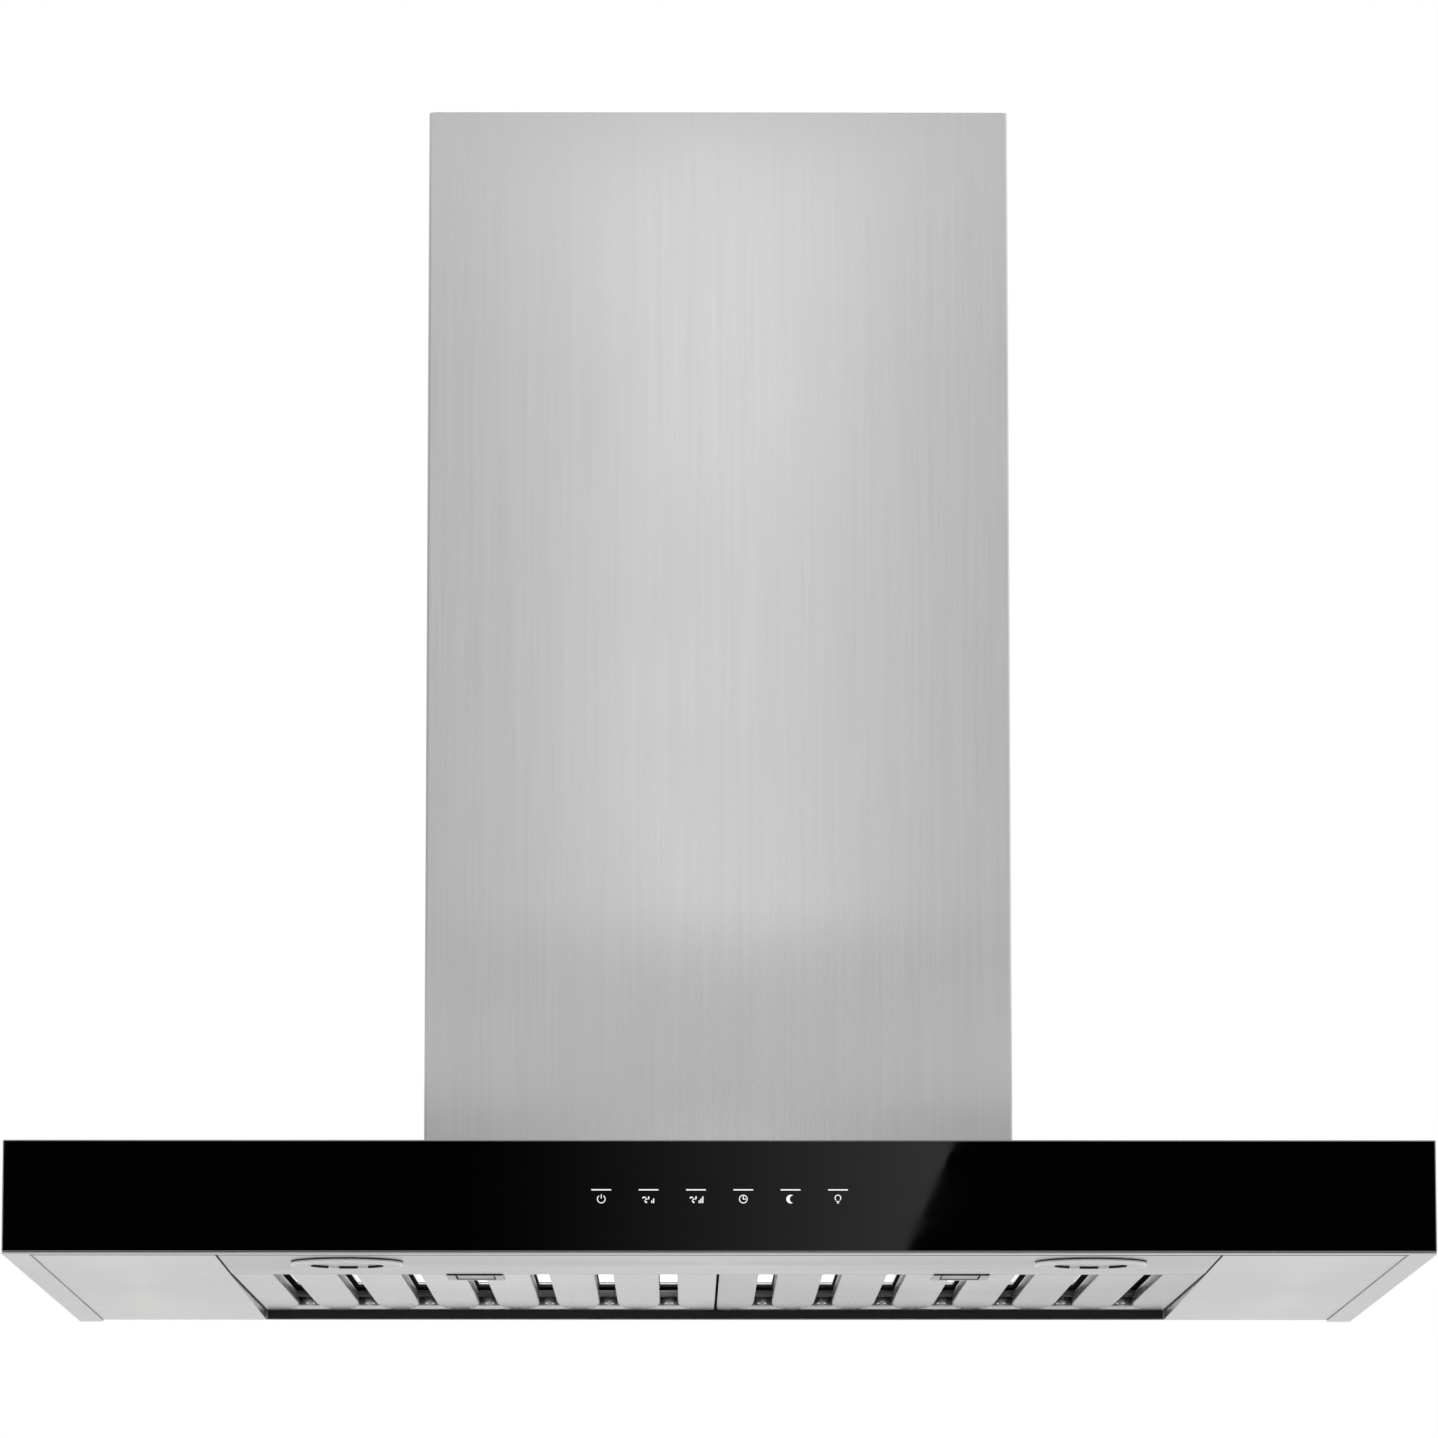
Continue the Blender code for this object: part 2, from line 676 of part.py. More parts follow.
# ---- blower -------------------------------------------------------------------------------------------------
CAPACITOR_RADIUS = 15 * MM
CAPACITOR_X = SCROLL_WIDTH / 2 + SIDE_PLATE + 32 * MM
CAPACITOR_Y = 28 * MM
CAPACITOR_Z = SCROLL_CENTRE_Z + 80 * MM
SEEN_ALONG_X = Matrix(((0, 0, 1, 0), (1, 0, 0, 0), (0, 1, 0, 0), (0, 0, 0, 1)))  # (y, z, x) to (x, y, z)


def scroll_path():
    """The casing's wall along X as (y, z): down the outlet, round the spiral and up from the tongue."""
    steps = 28
    spiral = []
    for i in range(steps, -1, -1):
        share = i / steps
        radius = SCROLL_START + (SCROLL_END - SCROLL_START) * share
        phi = math.radians(SCROLL_TONGUE_DEG + (360 - SCROLL_TONGUE_DEG) * share)
        spiral.append((SCROLL_CENTRE_Y + radius * math.cos(phi), SCROLL_CENTRE_Z + radius * math.sin(phi)))
    return [(OUTLET_HALF, SCROLL_TOP), *spiral, (-OUTLET_HALF, SCROLL_TOP)]


def blower_casing():
    """The scroll wall between two side plates, whose feet stand on two rails across the canopy's frame."""
    half = SCROLL_WIDTH / 2
    wrap = wall("blower_wrap", scroll_path(), -half + GAP, half - GAP, "zinc")
    wrap.data.transform(SEEN_ALONG_X)
    side_front = SCROLL_CENTRE_Y - 80 * MM
    outline = [
        (OUTLET_HALF + 2 * MM, SCROLL_TOP),
        (OUTLET_HALF + 2 * MM, FOOT),
        (side_front, FOOT),
        (side_front, SCROLL_CENTRE_Z + 40 * MM),
        (-OUTLET_HALF - 4 * MM, SCROLL_TOP),
    ]
    inlet = circle(SCROLL_CENTRE_Y, SCROLL_CENTRE_Z, IMPELLER_RADIUS - 10 * MM, 32)
    for name, x in (("left", -half - SIDE_PLATE), ("right", half)):
        side = plate(f"blower_side_{name}", [outline, inlet], SIDE_PLATE, "zinc", (x, 0, 0))
        side.data.transform(SEEN_ALONG_X)
    rail_x, rail_y = 172 * MM, 9 * MM
    for name, y in (("front", SCROLL_CENTRE_Y - 50 * MM), ("rear", SCROLL_CENTRE_Y + 74 * MM)):
        low = (-rail_x, y - rail_y, RAIL_BOTTOM)
        box(f"blower_rail_{name}", low, (rail_x, y + rail_y, RAIL_BOTTOM + RAIL_THICK), "zinc")


def drive():
    """The motor in the wheel's left inlet, its spider bracket and the run capacitor."""
    centre_yz = (SCROLL_CENTRE_Y, SCROLL_CENTRE_Z)
    half = SCROLL_WIDTH / 2
    motor_left = -half - 24 * MM
    motor_right = 2 * MM
    length = motor_right - motor_left
    r = MOTOR_RADIUS
    end_ring = 0.55 * r
    crown = 6 * MM
    bore = SHAFT_RADIUS + GAP
    profile = [
        (end_ring, length),
        (r, length - crown),
        (r, crown),
        (end_ring, 0),
        (bore, 0),
        (bore, length),
    ]
    turned("motor", profile, "zinc", (motor_left, *centre_yz), 32, "X")
    shaft_end, shaft_tail = 34 * MM, -14 * MM
    turned(
        "motor_shaft",
        [(0, shaft_end), (SHAFT_RADIUS, shaft_end), (SHAFT_RADIUS, shaft_tail), (0, shaft_tail)],
        "chrome",
        (motor_right - 6 * MM, *centre_yz),
        20,
        "X",
    )
    ring_outer = r + 8 * MM
    arm_end = IMPELLER_RADIUS + 6 * MM
    arm_half = 7 * MM
    hub = Vector(centre_yz)
    spread = math.degrees(math.asin(arm_half / ring_outer))
    outer = []
    for middle in (90, 210, 330):
        direction = Vector((math.cos(math.radians(middle)), math.sin(math.radians(middle))))
        across = Vector((direction.y, -direction.x))
        outer.append(tuple(hub + direction * arm_end + across * arm_half))
        outer.append(tuple(hub + direction * arm_end - across * arm_half))
        outer += arc(*centre_yz, ring_outer, middle + spread, middle + 120 - spread, 8)
    hole = circle(*centre_yz, r + 0.4 * MM, 32)
    thick = 2.5 * MM
    bracket = plate("motor_bracket", [outer, hole], thick, "zinc", (-half - SIDE_PLATE - GAP - thick, 0, 0))
    bracket.data.transform(SEEN_ALONG_X)
    cap_end, cap_base, edge = 32 * MM, -31.7 * MM, 2 * MM
    cap = [
        (0, cap_end),
        (CAPACITOR_RADIUS - edge, cap_end),
        (CAPACITOR_RADIUS, cap_end - edge),
        (CAPACITOR_RADIUS, cap_base),
        (0, cap_base),
    ]
    turned("capacitor", cap, "black", (CAPACITOR_X, CAPACITOR_Y, CAPACITOR_Z), 24, "X")


def impeller():
    """A double-inlet wheel: a centre disc with its hub, rows of curved blades and an end ring each side."""
    centre = Vector((0, SCROLL_CENTRE_Y, SCROLL_CENTRE_Z))
    half = IMPELLER_WIDTH / 2
    r = IMPELLER_RADIUS
    inner = r - 11 * MM
    disc_x = 12 * MM
    disc_half = 1.2 * MM
    bore = SHAFT_RADIUS + GAP
    hub = 9 * MM
    hub_left, hub_right = disc_x - 6 * MM, disc_x + 12 * MM
    disc = r - 1 * MM
    profile = [
        (disc, disc_x + disc_half),
        (disc, disc_x - disc_half),
        (hub, disc_x - disc_half),
        (hub, hub_left),
        (bore, hub_left),
        (bore, hub_right),
        (hub, hub_right),
        (hub, disc_x + disc_half),
    ]
    wheel = turned("impeller", profile, "zinc", centre, 40, "X")
    blades = bmesh.new()
    inset = 1 * MM
    curve = ((inner, 0.0), (inner + 5 * MM, 0.10), (r - 0.5 * MM, 0.13))  # radius and lead in radians
    thick = 0.02 * inner
    for k in range(BLADE_COUNT):
        start = 2 * math.pi * (k + 0.21) / BLADE_COUNT
        ring = [(radius, start + lead) for radius, lead in curve]
        outline = [*ring, *[(d, a + thick / d) for d, a in reversed(ring)]]
        low = [blades.verts.new((-half + inset, d * math.cos(a), d * math.sin(a))) for d, a in outline]
        face = blades.faces.new(low)
        moved = bmesh.ops.extrude_face_region(blades, geom=[face])["geom"]
        tops = [v for v in moved if isinstance(v, bmesh.types.BMVert)]
        bmesh.ops.translate(blades, vec=(IMPELLER_WIDTH - 2 * inset, 0, 0), verts=tops)
    row = hide(place("impeller_blades", mesh_from(blades, "impeller_blades"), None, None, CUTTERS))
    row.location = centre
    combine(wheel, row, "UNION")
    rim_wide, rim_bore = 2.5 * MM, inner - 0.5 * MM
    for name, x in (("left", -half), ("right", half - rim_wide)):
        rim = turned(
            f"impeller_rim_{name}",
            [(r, rim_wide), (r, 0), (rim_bore, 0), (rim_bore, rim_wide)],
            None,
            centre + Vector((x, 0, 0)),
            40,
            "X",
        )
        PARTS.objects.unlink(rim)
        CUTTERS.objects.link(rim)
        combine(wheel, hide(rim), "UNION")


def outlet():
    """The duct collar on the outlet, and the damper: two flaps that lift on either side of a rod."""
    inside = DUCT_RADIUS - SIDE_PLATE
    flange = 1.5 * MM
    rim = 40 * MM  # the flange's inner edge before the outlet is cut through it
    profile = [
        (DUCT_RADIUS, COLLAR_HEIGHT),
        (DUCT_RADIUS, flange),
        (COLLAR_FLANGE, flange),
        (COLLAR_FLANGE, 0),
        (rim, 0),
        (rim, flange),
        (inside, flange),
        (inside, COLLAR_HEIGHT),
    ]
    collar = turned("outlet_collar", profile, "zinc", (0, 0, COLLAR_BOTTOM), 48)
    hole_x, hole_y = SCROLL_WIDTH / 2 - 5 * MM, OUTLET_HALF - 4 * MM
    low = (-hole_x, -hole_y, COLLAR_BOTTOM - PAST)
    combine(collar, cutter_box("collar_hole", low, (hole_x, hole_y, COLLAR_BOTTOM + PAST)))
    half = inside - 2 * GAP
    rod = 1.8 * MM
    turned(
        "damper_rod",
        [(0, half), (rod, half), (rod, -half), (0, -half)],
        "chrome",
        (0, 0, FLAP_Z),
        16,
        "X",
    )
    thick = 0.8 * MM
    reach = math.degrees(math.asin(FLAP_HINGE_Y / FLAP_RADIUS))
    rim = arc(0, -FLAP_HINGE_Y, FLAP_RADIUS, reach, 180 - reach, 21)
    for name, side in (("front", -1), ("rear", 1)):
        hinge = pivot(f"damper_{name}_axis", (0, side * FLAP_HINGE_Y, FLAP_Z))
        outline = rim if side > 0 else [(x, -y) for x, y in reversed(rim)]
        plate(f"damper_flap_{name}", [outline], thick, "zinc", (0, 0, -thick / 2), parent=hinge)


def top_frame():
    """The ring on the canopy's top that the posts and the blower's rails stand on."""
    outer_x, outer_y = 188 * MM, 131 * MM
    band = 24 * MM
    ring = [
        rectangle(-outer_x, -outer_y, outer_x, outer_y),
        rectangle(-outer_x + band, -outer_y + band, outer_x - band, outer_y - band),
    ]
    plate("top_frame", ring, TOP_FRAME_THICK, "zinc", (0, 0, TOP_FRAME_BOTTOM))


# ---- filters ------------------------------------------------------------------------------------------------
FILTER_LENGTH = FILTER_REAR - FILTER_FRONT
FILTER_WIDTH = BAY_HALF - SEAM / 2
FRAME_BOTTOM = SHEET + GAP
FRAME_LIP = 14 * MM  # the frame's top flange
BAFFLE_RISE = FILTER_HEIGHT - 6 * MM
LATCH_REAR = -FILTER_LENGTH + LATCH_DEPTH
TAB_BOTTOM = RAIL_HEIGHT - FILTER_RISE + 0.5 * MM  # above the filter's rear edge


def slot_outline(x, front, rear, width, flare):
    """A long slot whose rear end opens out to a round."""
    w, f = width / 2, flare / 2
    swell = 14 * MM
    squash = 0.55
    round_y = rear - f * squash
    neck = round_y - swell
    left = [(x - w - (f - w) * (i / 4) ** 2, neck + swell * i / 4) for i in range(1, 5)]
    squashed = [(px, round_y + py * squash) for px, py in arc(x, 0, f, 180, 0, 9)[1:-1]]
    right = [(2 * x - px, py) for px, py in reversed(left)]
    return [(x - w, front), (x - w, neck), *left, *squashed, *right, (x + w, neck), (x + w, front)]


def filter_unit(name, side):
    """One baffle filter, built flat about its rear bottom edge, then tilted to lift that edge."""
    tilt = math.atan2(FILTER_RISE, FILTER_LENGTH)
    centre_x = side * (BAY_HALF + SEAM / 2) / 2
    hinge = pivot(
        f"filter_{name}_axis", (centre_x, FRONT + FILTER_REAR, PANEL_BOTTOM + FILTER_RISE), (tilt, 0, 0)
    )
    filter_face(name, hinge)
    filter_baffle(name, hinge)
    filter_frame(name, hinge)
    latch(name, hinge)


def notched(half_x, front, rear, notch, notch_rear):
    """A rectangle about x = 0 with a notch in the middle of its front edge."""
    return [
        (-half_x, front),
        (-notch, front),
        (-notch, notch_rear),
        (notch, notch_rear),
        (notch, front),
        (half_x, front),
        (half_x, rear),
        (-half_x, rear),
    ]


def filter_face(name, hinge):
    """The slotted face that shows; the middle slot starts behind the latch."""
    slots = []
    for i in range(SLOT_COUNT):
        x = (i - (SLOT_COUNT - 1) / 2) * SLOT_PITCH
        start = LATCH_REAR + 2.5 * MM if abs(x) < LATCH_WIDTH / 2 else -FILTER_LENGTH + SLOT_FRONT
        slots.append(slot_outline(x, start, -SLOT_REAR, SLOT_WIDTH, SLOT_FLARE))
    edge = notched(FILTER_WIDTH / 2, -FILTER_LENGTH, 0, LATCH_WIDTH / 2 + GAP, LATCH_REAR + GAP)
    plate(f"filter_face_{name}", [edge, *slots], SHEET, "steel", parent=hinge)


def filter_baffle(name, hinge):
    """The second sheet above the face, with its openings over the bars between the face's slots."""
    margin = 3 * MM
    opening_half = 8 * MM
    slots = []
    for i in range(SLOT_COUNT - 1):
        x = (i - (SLOT_COUNT - 2) / 2) * SLOT_PITCH
        start = LATCH_REAR + 6 * MM if abs(x) < SLOT_PITCH else -FILTER_LENGTH + 14 * MM
        slots.append(rectangle(x - opening_half, start, x + opening_half, -SLOT_REAR + 10 * MM))
    notch, notch_rear = LATCH_WIDTH / 2 + 1 * MM, LATCH_REAR + 1 * MM
    edge = notched(FILTER_WIDTH / 2 - margin, -FILTER_LENGTH + margin, -margin, notch, notch_rear)
    plate(f"filter_baffle_{name}", [edge, *slots], SHEET, "steel", (0, 0, BAFFLE_RISE), parent=hinge)


def filter_frame(name, hinge):
    """A folded frame round the baffles, notched for the latch, with two tabs that rest on the rear rail."""
    half = FILTER_WIDTH / 2
    front = -FILTER_LENGTH
    low, high = (-half, front, FRAME_BOTTOM), (half, 0, FILTER_HEIGHT)
    frame = box(f"filter_frame_{name}", low, high, "steel", hinge)
    hollow = cutter_box(
        f"frame_hollow_{name}",
        (-half + SHEET, front + SHEET, -PAST),
        (half - SHEET, -SHEET, FILTER_HEIGHT - SHEET),
        hinge,
    )
    mouth = cutter_box(
        f"frame_mouth_{name}",
        (-half + FRAME_LIP, front + FRAME_LIP, FILTER_HEIGHT - PAST),
        (half - FRAME_LIP, -FRAME_LIP, FILTER_HEIGHT + PAST),
        hinge,
    )
    pocket = LATCH_WIDTH / 2 + GAP
    notch = cutter_box(
        f"frame_notch_{name}",
        (-pocket, front - PAST, -PAST),
        (pocket, front + FRAME_LIP + PAST, HOUSING_TOP + GAP),
        hinge,
    )
    for tool in (hollow, mouth, notch):
        combine(frame, tool)
    tab_half, tab_reach, tab_thick = 12 * MM, 8 * MM, 1.2 * MM
    for place_name, x in (("outer", -0.3 * FILTER_WIDTH), ("inner", 0.3 * FILTER_WIDTH)):
        low = (x - tab_half, -0.6 * SHEET, TAB_BOTTOM)
        high = (x + tab_half, tab_reach, TAB_BOTTOM + tab_thick)
        combine(frame, cutter_box(f"tab_{name}_{place_name}", low, high, hinge), "UNION")


def latch(name, hinge):
    """A pull latch in the filter's front edge: an open tray, a slider in it and the spring behind."""
    front, rear = -FILTER_LENGTH, LATCH_REAR
    half = LATCH_WIDTH / 2
    slider_half = SLIDER_WIDTH / 2
    sheet = 1.2 * MM
    low, high = (-half, front + 0.2 * MM, 0), (half, rear, HOUSING_TOP)
    housing = box(f"latch_housing_{name}", low, high, "zinc", hinge)
    low = (-half + sheet, front - PAST, sheet)
    high = (half - sheet, rear - sheet, HOUSING_TOP - sheet)
    combine(housing, cutter_box(f"latch_room_{name}", low, high, hinge))
    window_half = slider_half + 0.5 * MM
    low, high = (-window_half, front - PAST, -PAST), (window_half, rear - 4 * MM, 2 * sheet)
    combine(housing, cutter_box(f"latch_window_{name}", low, high, hinge))

    axis = pivot(f"latch_{name}_axis", (0, front, 0))
    axis.parent = hinge
    low, high = (-slider_half, 0.6 * MM, 0.5 * MM), (slider_half, SLIDER_LENGTH, SLIDER_TOP)
    slider = box(f"latch_slider_{name}", low, high, "steel", axis)
    wing_half = slider_half + 3 * MM
    low = (-wing_half, 4 * MM, sheet + 0.4 * MM)
    high = (wing_half, SLIDER_LENGTH, SLIDER_TOP - 0.2 * MM)
    combine(slider, cutter_box(f"latch_wings_{name}", low, high, axis), "UNION")
    finger_half = slider_half - 1.5 * MM
    low, high = (-finger_half, 3 * MM, -PAST), (finger_half, SLIDER_LENGTH - 6 * MM, 3.2 * MM)
    combine(slider, cutter_box(f"latch_finger_{name}", low, high, axis))

    turns, points_a_turn = 5, 8
    radius, wire_radius = 2.0 * MM, 0.35 * MM
    start = front + SLIDER_LENGTH + wire_radius + GAP
    end = rear - sheet - wire_radius - GAP
    count = turns * points_a_turn
    coil = []
    for i in range(count + 1):
        turn = 2 * math.pi * i / points_a_turn
        along = start + (end - start) * i / count
        coil.append((radius * math.cos(turn), along, SLIDER_TOP + radius * math.sin(turn)))
    wire(f"latch_spring_{name}", coil, wire_radius, "spring", 0, hinge)


def build():
    """Makes every piece."""
    ceiling_plate()
    posts()
    chimney_covers()
    canopy_shell()
    front_glass()
    underside()
    lamps()
    electrics()
    leads()
    blower_casing()
    drive()
    impeller()
    outlet()
    top_frame()
    filter_unit("left", -1)
    filter_unit("right", 1)
    for obj in PARTS.objects:
        if obj.type == "MESH":
            obj.data.shade_smooth()
            obj.data.set_sharp_from_angle(angle=math.radians(35))


clear_scene()
PARTS = collection("island_range_hood")
CUTTERS = collection("cutters")
build()
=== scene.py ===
import json
import math

import bmesh
import bpy
from mathutils import Matrix, Vector
from mathutils.geometry import tessellate_polygon

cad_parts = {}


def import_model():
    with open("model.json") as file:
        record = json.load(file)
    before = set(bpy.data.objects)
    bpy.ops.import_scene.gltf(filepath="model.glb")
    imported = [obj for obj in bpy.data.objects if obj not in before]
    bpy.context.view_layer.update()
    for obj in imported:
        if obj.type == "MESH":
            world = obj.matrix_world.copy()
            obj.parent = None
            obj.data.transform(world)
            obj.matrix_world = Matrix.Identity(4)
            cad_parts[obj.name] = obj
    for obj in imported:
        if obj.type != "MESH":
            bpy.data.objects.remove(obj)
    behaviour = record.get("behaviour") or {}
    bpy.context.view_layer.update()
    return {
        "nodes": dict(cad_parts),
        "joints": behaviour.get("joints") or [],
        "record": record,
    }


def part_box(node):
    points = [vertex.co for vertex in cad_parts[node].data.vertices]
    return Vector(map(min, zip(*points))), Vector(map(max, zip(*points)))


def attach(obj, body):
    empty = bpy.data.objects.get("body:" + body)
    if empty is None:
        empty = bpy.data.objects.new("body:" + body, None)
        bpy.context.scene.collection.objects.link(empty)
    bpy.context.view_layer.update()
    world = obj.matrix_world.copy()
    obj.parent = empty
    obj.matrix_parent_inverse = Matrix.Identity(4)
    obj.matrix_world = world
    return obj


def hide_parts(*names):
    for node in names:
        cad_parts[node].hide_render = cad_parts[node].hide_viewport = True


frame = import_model()

# Every length is in metres, in the part's own frame: +Z up, the front towards -Y, the ceiling at z = 0.
MM = 0.001
NODES = frame["nodes"]
JOINTS = {joint["name"]: joint for joint in frame["joints"]}
BODY_OF = {node: body for body, nodes in frame["record"]["behaviour"]["bodies"].items() for node in nodes}

GLASS_LOW, GLASS_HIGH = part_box("front_glass")
SHELL_LOW, SHELL_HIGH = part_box("canopy_shell")
COVER_LOW, COVER_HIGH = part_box("lower_cover_front")
SIDES = {"left": -1, "right": 1}


# ---- materials -----------------------------------------------------
def new_material(name, **sockets):
    """A Principled material; a socket's underscores stand for spaces."""
    made = bpy.data.materials.new(name)
    made.use_nodes = True
    shader = made.node_tree.nodes["Principled BSDF"]
    for socket, value in sockets.items():
        shader.inputs[socket.replace("_", " ")].default_value = value
    return made, made.node_tree, shader


def noise(tree, scale, detail=2.0, roughness=0.55, distortion=0.0):
    """Noise in the object's own coordinates, at one scale or stretched by a scale for each axis."""
    where = tree.nodes.new("ShaderNodeTexCoord")
    mapping = tree.nodes.new("ShaderNodeMapping")
    mapping.inputs["Scale"].default_value = scale if isinstance(scale, tuple) else (scale,) * 3
    tree.links.new(where.outputs["Object"], mapping.inputs["Vector"])
    made = tree.nodes.new("ShaderNodeTexNoise")
    made.inputs["Scale"].default_value = 1.0
    made.inputs["Detail"].default_value = detail
    made.inputs["Roughness"].default_value = roughness
    made.inputs["Distortion"].default_value = distortion
    tree.links.new(mapping.outputs["Vector"], made.inputs["Vector"])
    return made.outputs["Fac"]


def ranged(tree, value, low, high, new_low, new_high):
    """The value taken from one range to another."""
    made = tree.nodes.new("ShaderNodeMapRange")
    made.inputs["From Min"].default_value = low
    made.inputs["From Max"].default_value = high
    made.inputs["To Min"].default_value = new_low
    made.inputs["To Max"].default_value = new_high
    tree.links.new(value, made.inputs["Value"])
    return made.outputs["Result"]


def added(tree, first, second, operation="ADD"):
    """Two values combined."""
    made = tree.nodes.new("ShaderNodeMath")
    made.operation = operation
    for socket, value in zip(made.inputs, (first, second)):
        if isinstance(value, float):
            socket.default_value = value
        else:
            tree.links.new(value, socket)
    return made.outputs["Value"]


def mixed(tree, factor, first, second):
    """A colour between two others."""
    made = tree.nodes.new("ShaderNodeMix")
    made.data_type = "RGBA"
    tree.links.new(factor, made.inputs["Factor"])
    for socket, value in (("A", first), ("B", second)):
        target = next(s for s in made.inputs if s.name == socket and s.type == "RGBA")
        if isinstance(value, tuple):
            target.default_value = (*value, 1.0)
        else:
            tree.links.new(value, target)
    return next(s for s in made.outputs if s.type == "RGBA")


def bumped(tree, shader, height, strength, distance):
    """A bump on the shader's normal."""
    made = tree.nodes.new("ShaderNodeBump")
    made.inputs["Strength"].default_value = strength
    made.inputs["Distance"].default_value = distance
    tree.links.new(height, made.inputs["Height"])
    tree.links.new(made.outputs["Normal"], shader.inputs["Normal"])


def painted_edge_highlight(tree, start=0.51, end=0.56):
    """0 on flat stretches, rising to 1 on convex edges, where a painted highlight goes."""
    geometry = tree.nodes.new("ShaderNodeNewGeometry")
    return ranged(tree, geometry.outputs["Pointiness"], start, end, 0.0, 1.0)


def glossed(tree, shader, value, low, high):
    """A roughness that follows the value's middle range."""
    tree.links.new(ranged(tree, value, 0.3, 0.7, low, high), shader.inputs["Roughness"])


def coated(tree, shader, base, highlight_tone, share):
    """A base colour that turns partly to a lighter one on convex edges: a painted highlight."""
    edge = added(tree, painted_edge_highlight(tree), share, "MULTIPLY")
    tree.links.new(mixed(tree, edge, base, highlight_tone), shader.inputs["Base Color"])


def grey(value, tint=0.0):
    """A neutral colour, cooler by the tint."""
    return (value * (1 - tint), value, value * (1 + tint))


def brushed(name, grain, tone, rough, spread=0.035, anisotropy=0.55):
    """Steel brushed along one axis: streaks in its tone, gloss and surface, and brighter edges, a painted
    highlight.
    """
    made, tree, shader = new_material(name, Metallic=1.0, Anisotropic=anisotropy)
    across, along = (1500.0, 16.0)
    fine = noise(tree, tuple(along if axis == grain else across for axis in "XYZ"), 2.0)
    broad = noise(tree, tuple(4.0 if axis == grain else 260.0 for axis in "XYZ"), 1.0)
    cloud = noise(tree, 5.0, 2.0)
    streak = added(tree, ranged(tree, fine, 0.25, 0.75, 0.0, 0.6), ranged(tree, broad, 0.3, 0.7, 0.0, 0.4))
    base = mixed(tree, streak, grey(tone - spread, 0.004), grey(tone + spread, 0.002))
    coated(tree, shader, base, grey(min(0.95, tone + 0.16)), 0.5)
    fine_gloss = ranged(tree, fine, 0.2, 0.8, rough - 0.04, rough + 0.04)
    cloud_gloss = ranged(tree, cloud, 0.3, 0.7, -0.02, 0.02)
    tree.links.new(added(tree, fine_gloss, cloud_gloss), shader.inputs["Roughness"])
    bumped(tree, shader, fine, 0.10, 0.00006)
    tangent = tree.nodes.new("ShaderNodeTangent")
    tangent.direction_type = "RADIAL"
    tangent.axis = grain if grain == "Z" else "Z"
    tree.links.new(tangent.outputs["Tangent"], shader.inputs["Tangent"])
    return made


def polished(name, tone, rough):
    """Pressed and polished steel: nearly a mirror, with faint draw marks and small uneven patches."""
    made, tree, shader = new_material(name, Metallic=1.0)
    marks = noise(tree, (420.0, 60.0, 420.0), 3.0)
    patch = noise(tree, 38.0, 2.0)
    base = mixed(tree, patch, grey(tone - 0.03, 0.004), grey(tone + 0.03))
    coated(tree, shader, base, grey(min(0.95, tone + 0.12)), 0.4)
    glossed(tree, shader, marks, rough * 0.7, rough * 1.4)
    bumped(tree, shader, patch, 0.10, 0.0004)
    return made


def galvanised(name, tone, rough):
    """Zinc-coated sheet: crystals of slightly different grey, and a fine grain."""
    made, tree, shader = new_material(name, Metallic=1.0)
    where = tree.nodes.new("ShaderNodeTexCoord")
    cells = tree.nodes.new("ShaderNodeTexVoronoi")
    cells.inputs["Scale"].default_value = 120.0
    tree.links.new(where.outputs["Object"], cells.inputs["Vector"])
    split = tree.nodes.new("ShaderNodeSeparateColor")
    tree.links.new(cells.outputs["Color"], split.inputs["Color"])
    grain = noise(tree, 900.0, 2.0)
    base = mixed(tree, split.outputs["Red"], grey(tone - 0.07, 0.012), grey(tone + 0.05, 0.006))
    coated(tree, shader, base, grey(min(0.95, tone + 0.2)), 0.5)
    spangle = ranged(tree, split.outputs["Green"], 0.0, 1.0, rough - 0.07, rough + 0.07)
    tree.links.new(spangle, shader.inputs["Roughness"])
    bumped(tree, shader, grain, 0.06, 0.0001)
    return made


def chrome(name):
    """Bright plating with a trace of orange peel."""
    made, tree, shader = new_material(name, Metallic=1.0)
    peel = noise(tree, 700.0, 1.0)
    haze = noise(tree, 60.0, 3.0)
    tree.links.new(mixed(tree, haze, grey(0.74, 0.006), grey(0.82, 0.004)), shader.inputs["Base Color"])
    glossed(tree, shader, haze, 0.05, 0.10)
    bumped(tree, shader, peel, 0.03, 0.0001)
    return made


def black_glass(name):
    """Black backed glass: a clean face with the faintest film on it."""
    made, tree, shader = new_material(name, Metallic=0.0, IOR=1.5)
    film = noise(tree, (26.0, 26.0, 40.0), 4.0, 0.6, 0.4)
    depth = noise(tree, 9.0, 2.0)
    tone = mixed(tree, depth, (0.0006, 0.0006, 0.0007), (0.0012, 0.0012, 0.0014))
    tree.links.new(tone, shader.inputs["Base Color"])
    tree.links.new(ranged(tree, film, 0.35, 0.75, 0.012, 0.035), shader.inputs["Roughness"])
    bumped(tree, shader, depth, 0.02, 0.0003)
    return made


def painted_black(name, tone, rough, ior=1.4):
    """A dark coat: its fine texture, and lighter edges, a painted highlight."""
    made, tree, shader = new_material(name, Metallic=0.0, IOR=ior)
    grain = noise(tree, 1400.0, 2.0)
    cloud = noise(tree, (14.0, 60.0, 60.0), 2.0)
    base = mixed(tree, cloud, grey(tone * 0.8), grey(tone * 1.25))
    tree.links.new(mixed(tree, painted_edge_highlight(tree), base, grey(tone * 3)), shader.inputs["Base Color"])
    glossed(tree, shader, grain, rough - 0.06, rough + 0.06)
    bumped(tree, shader, grain, 0.12, 0.0001)
    return made


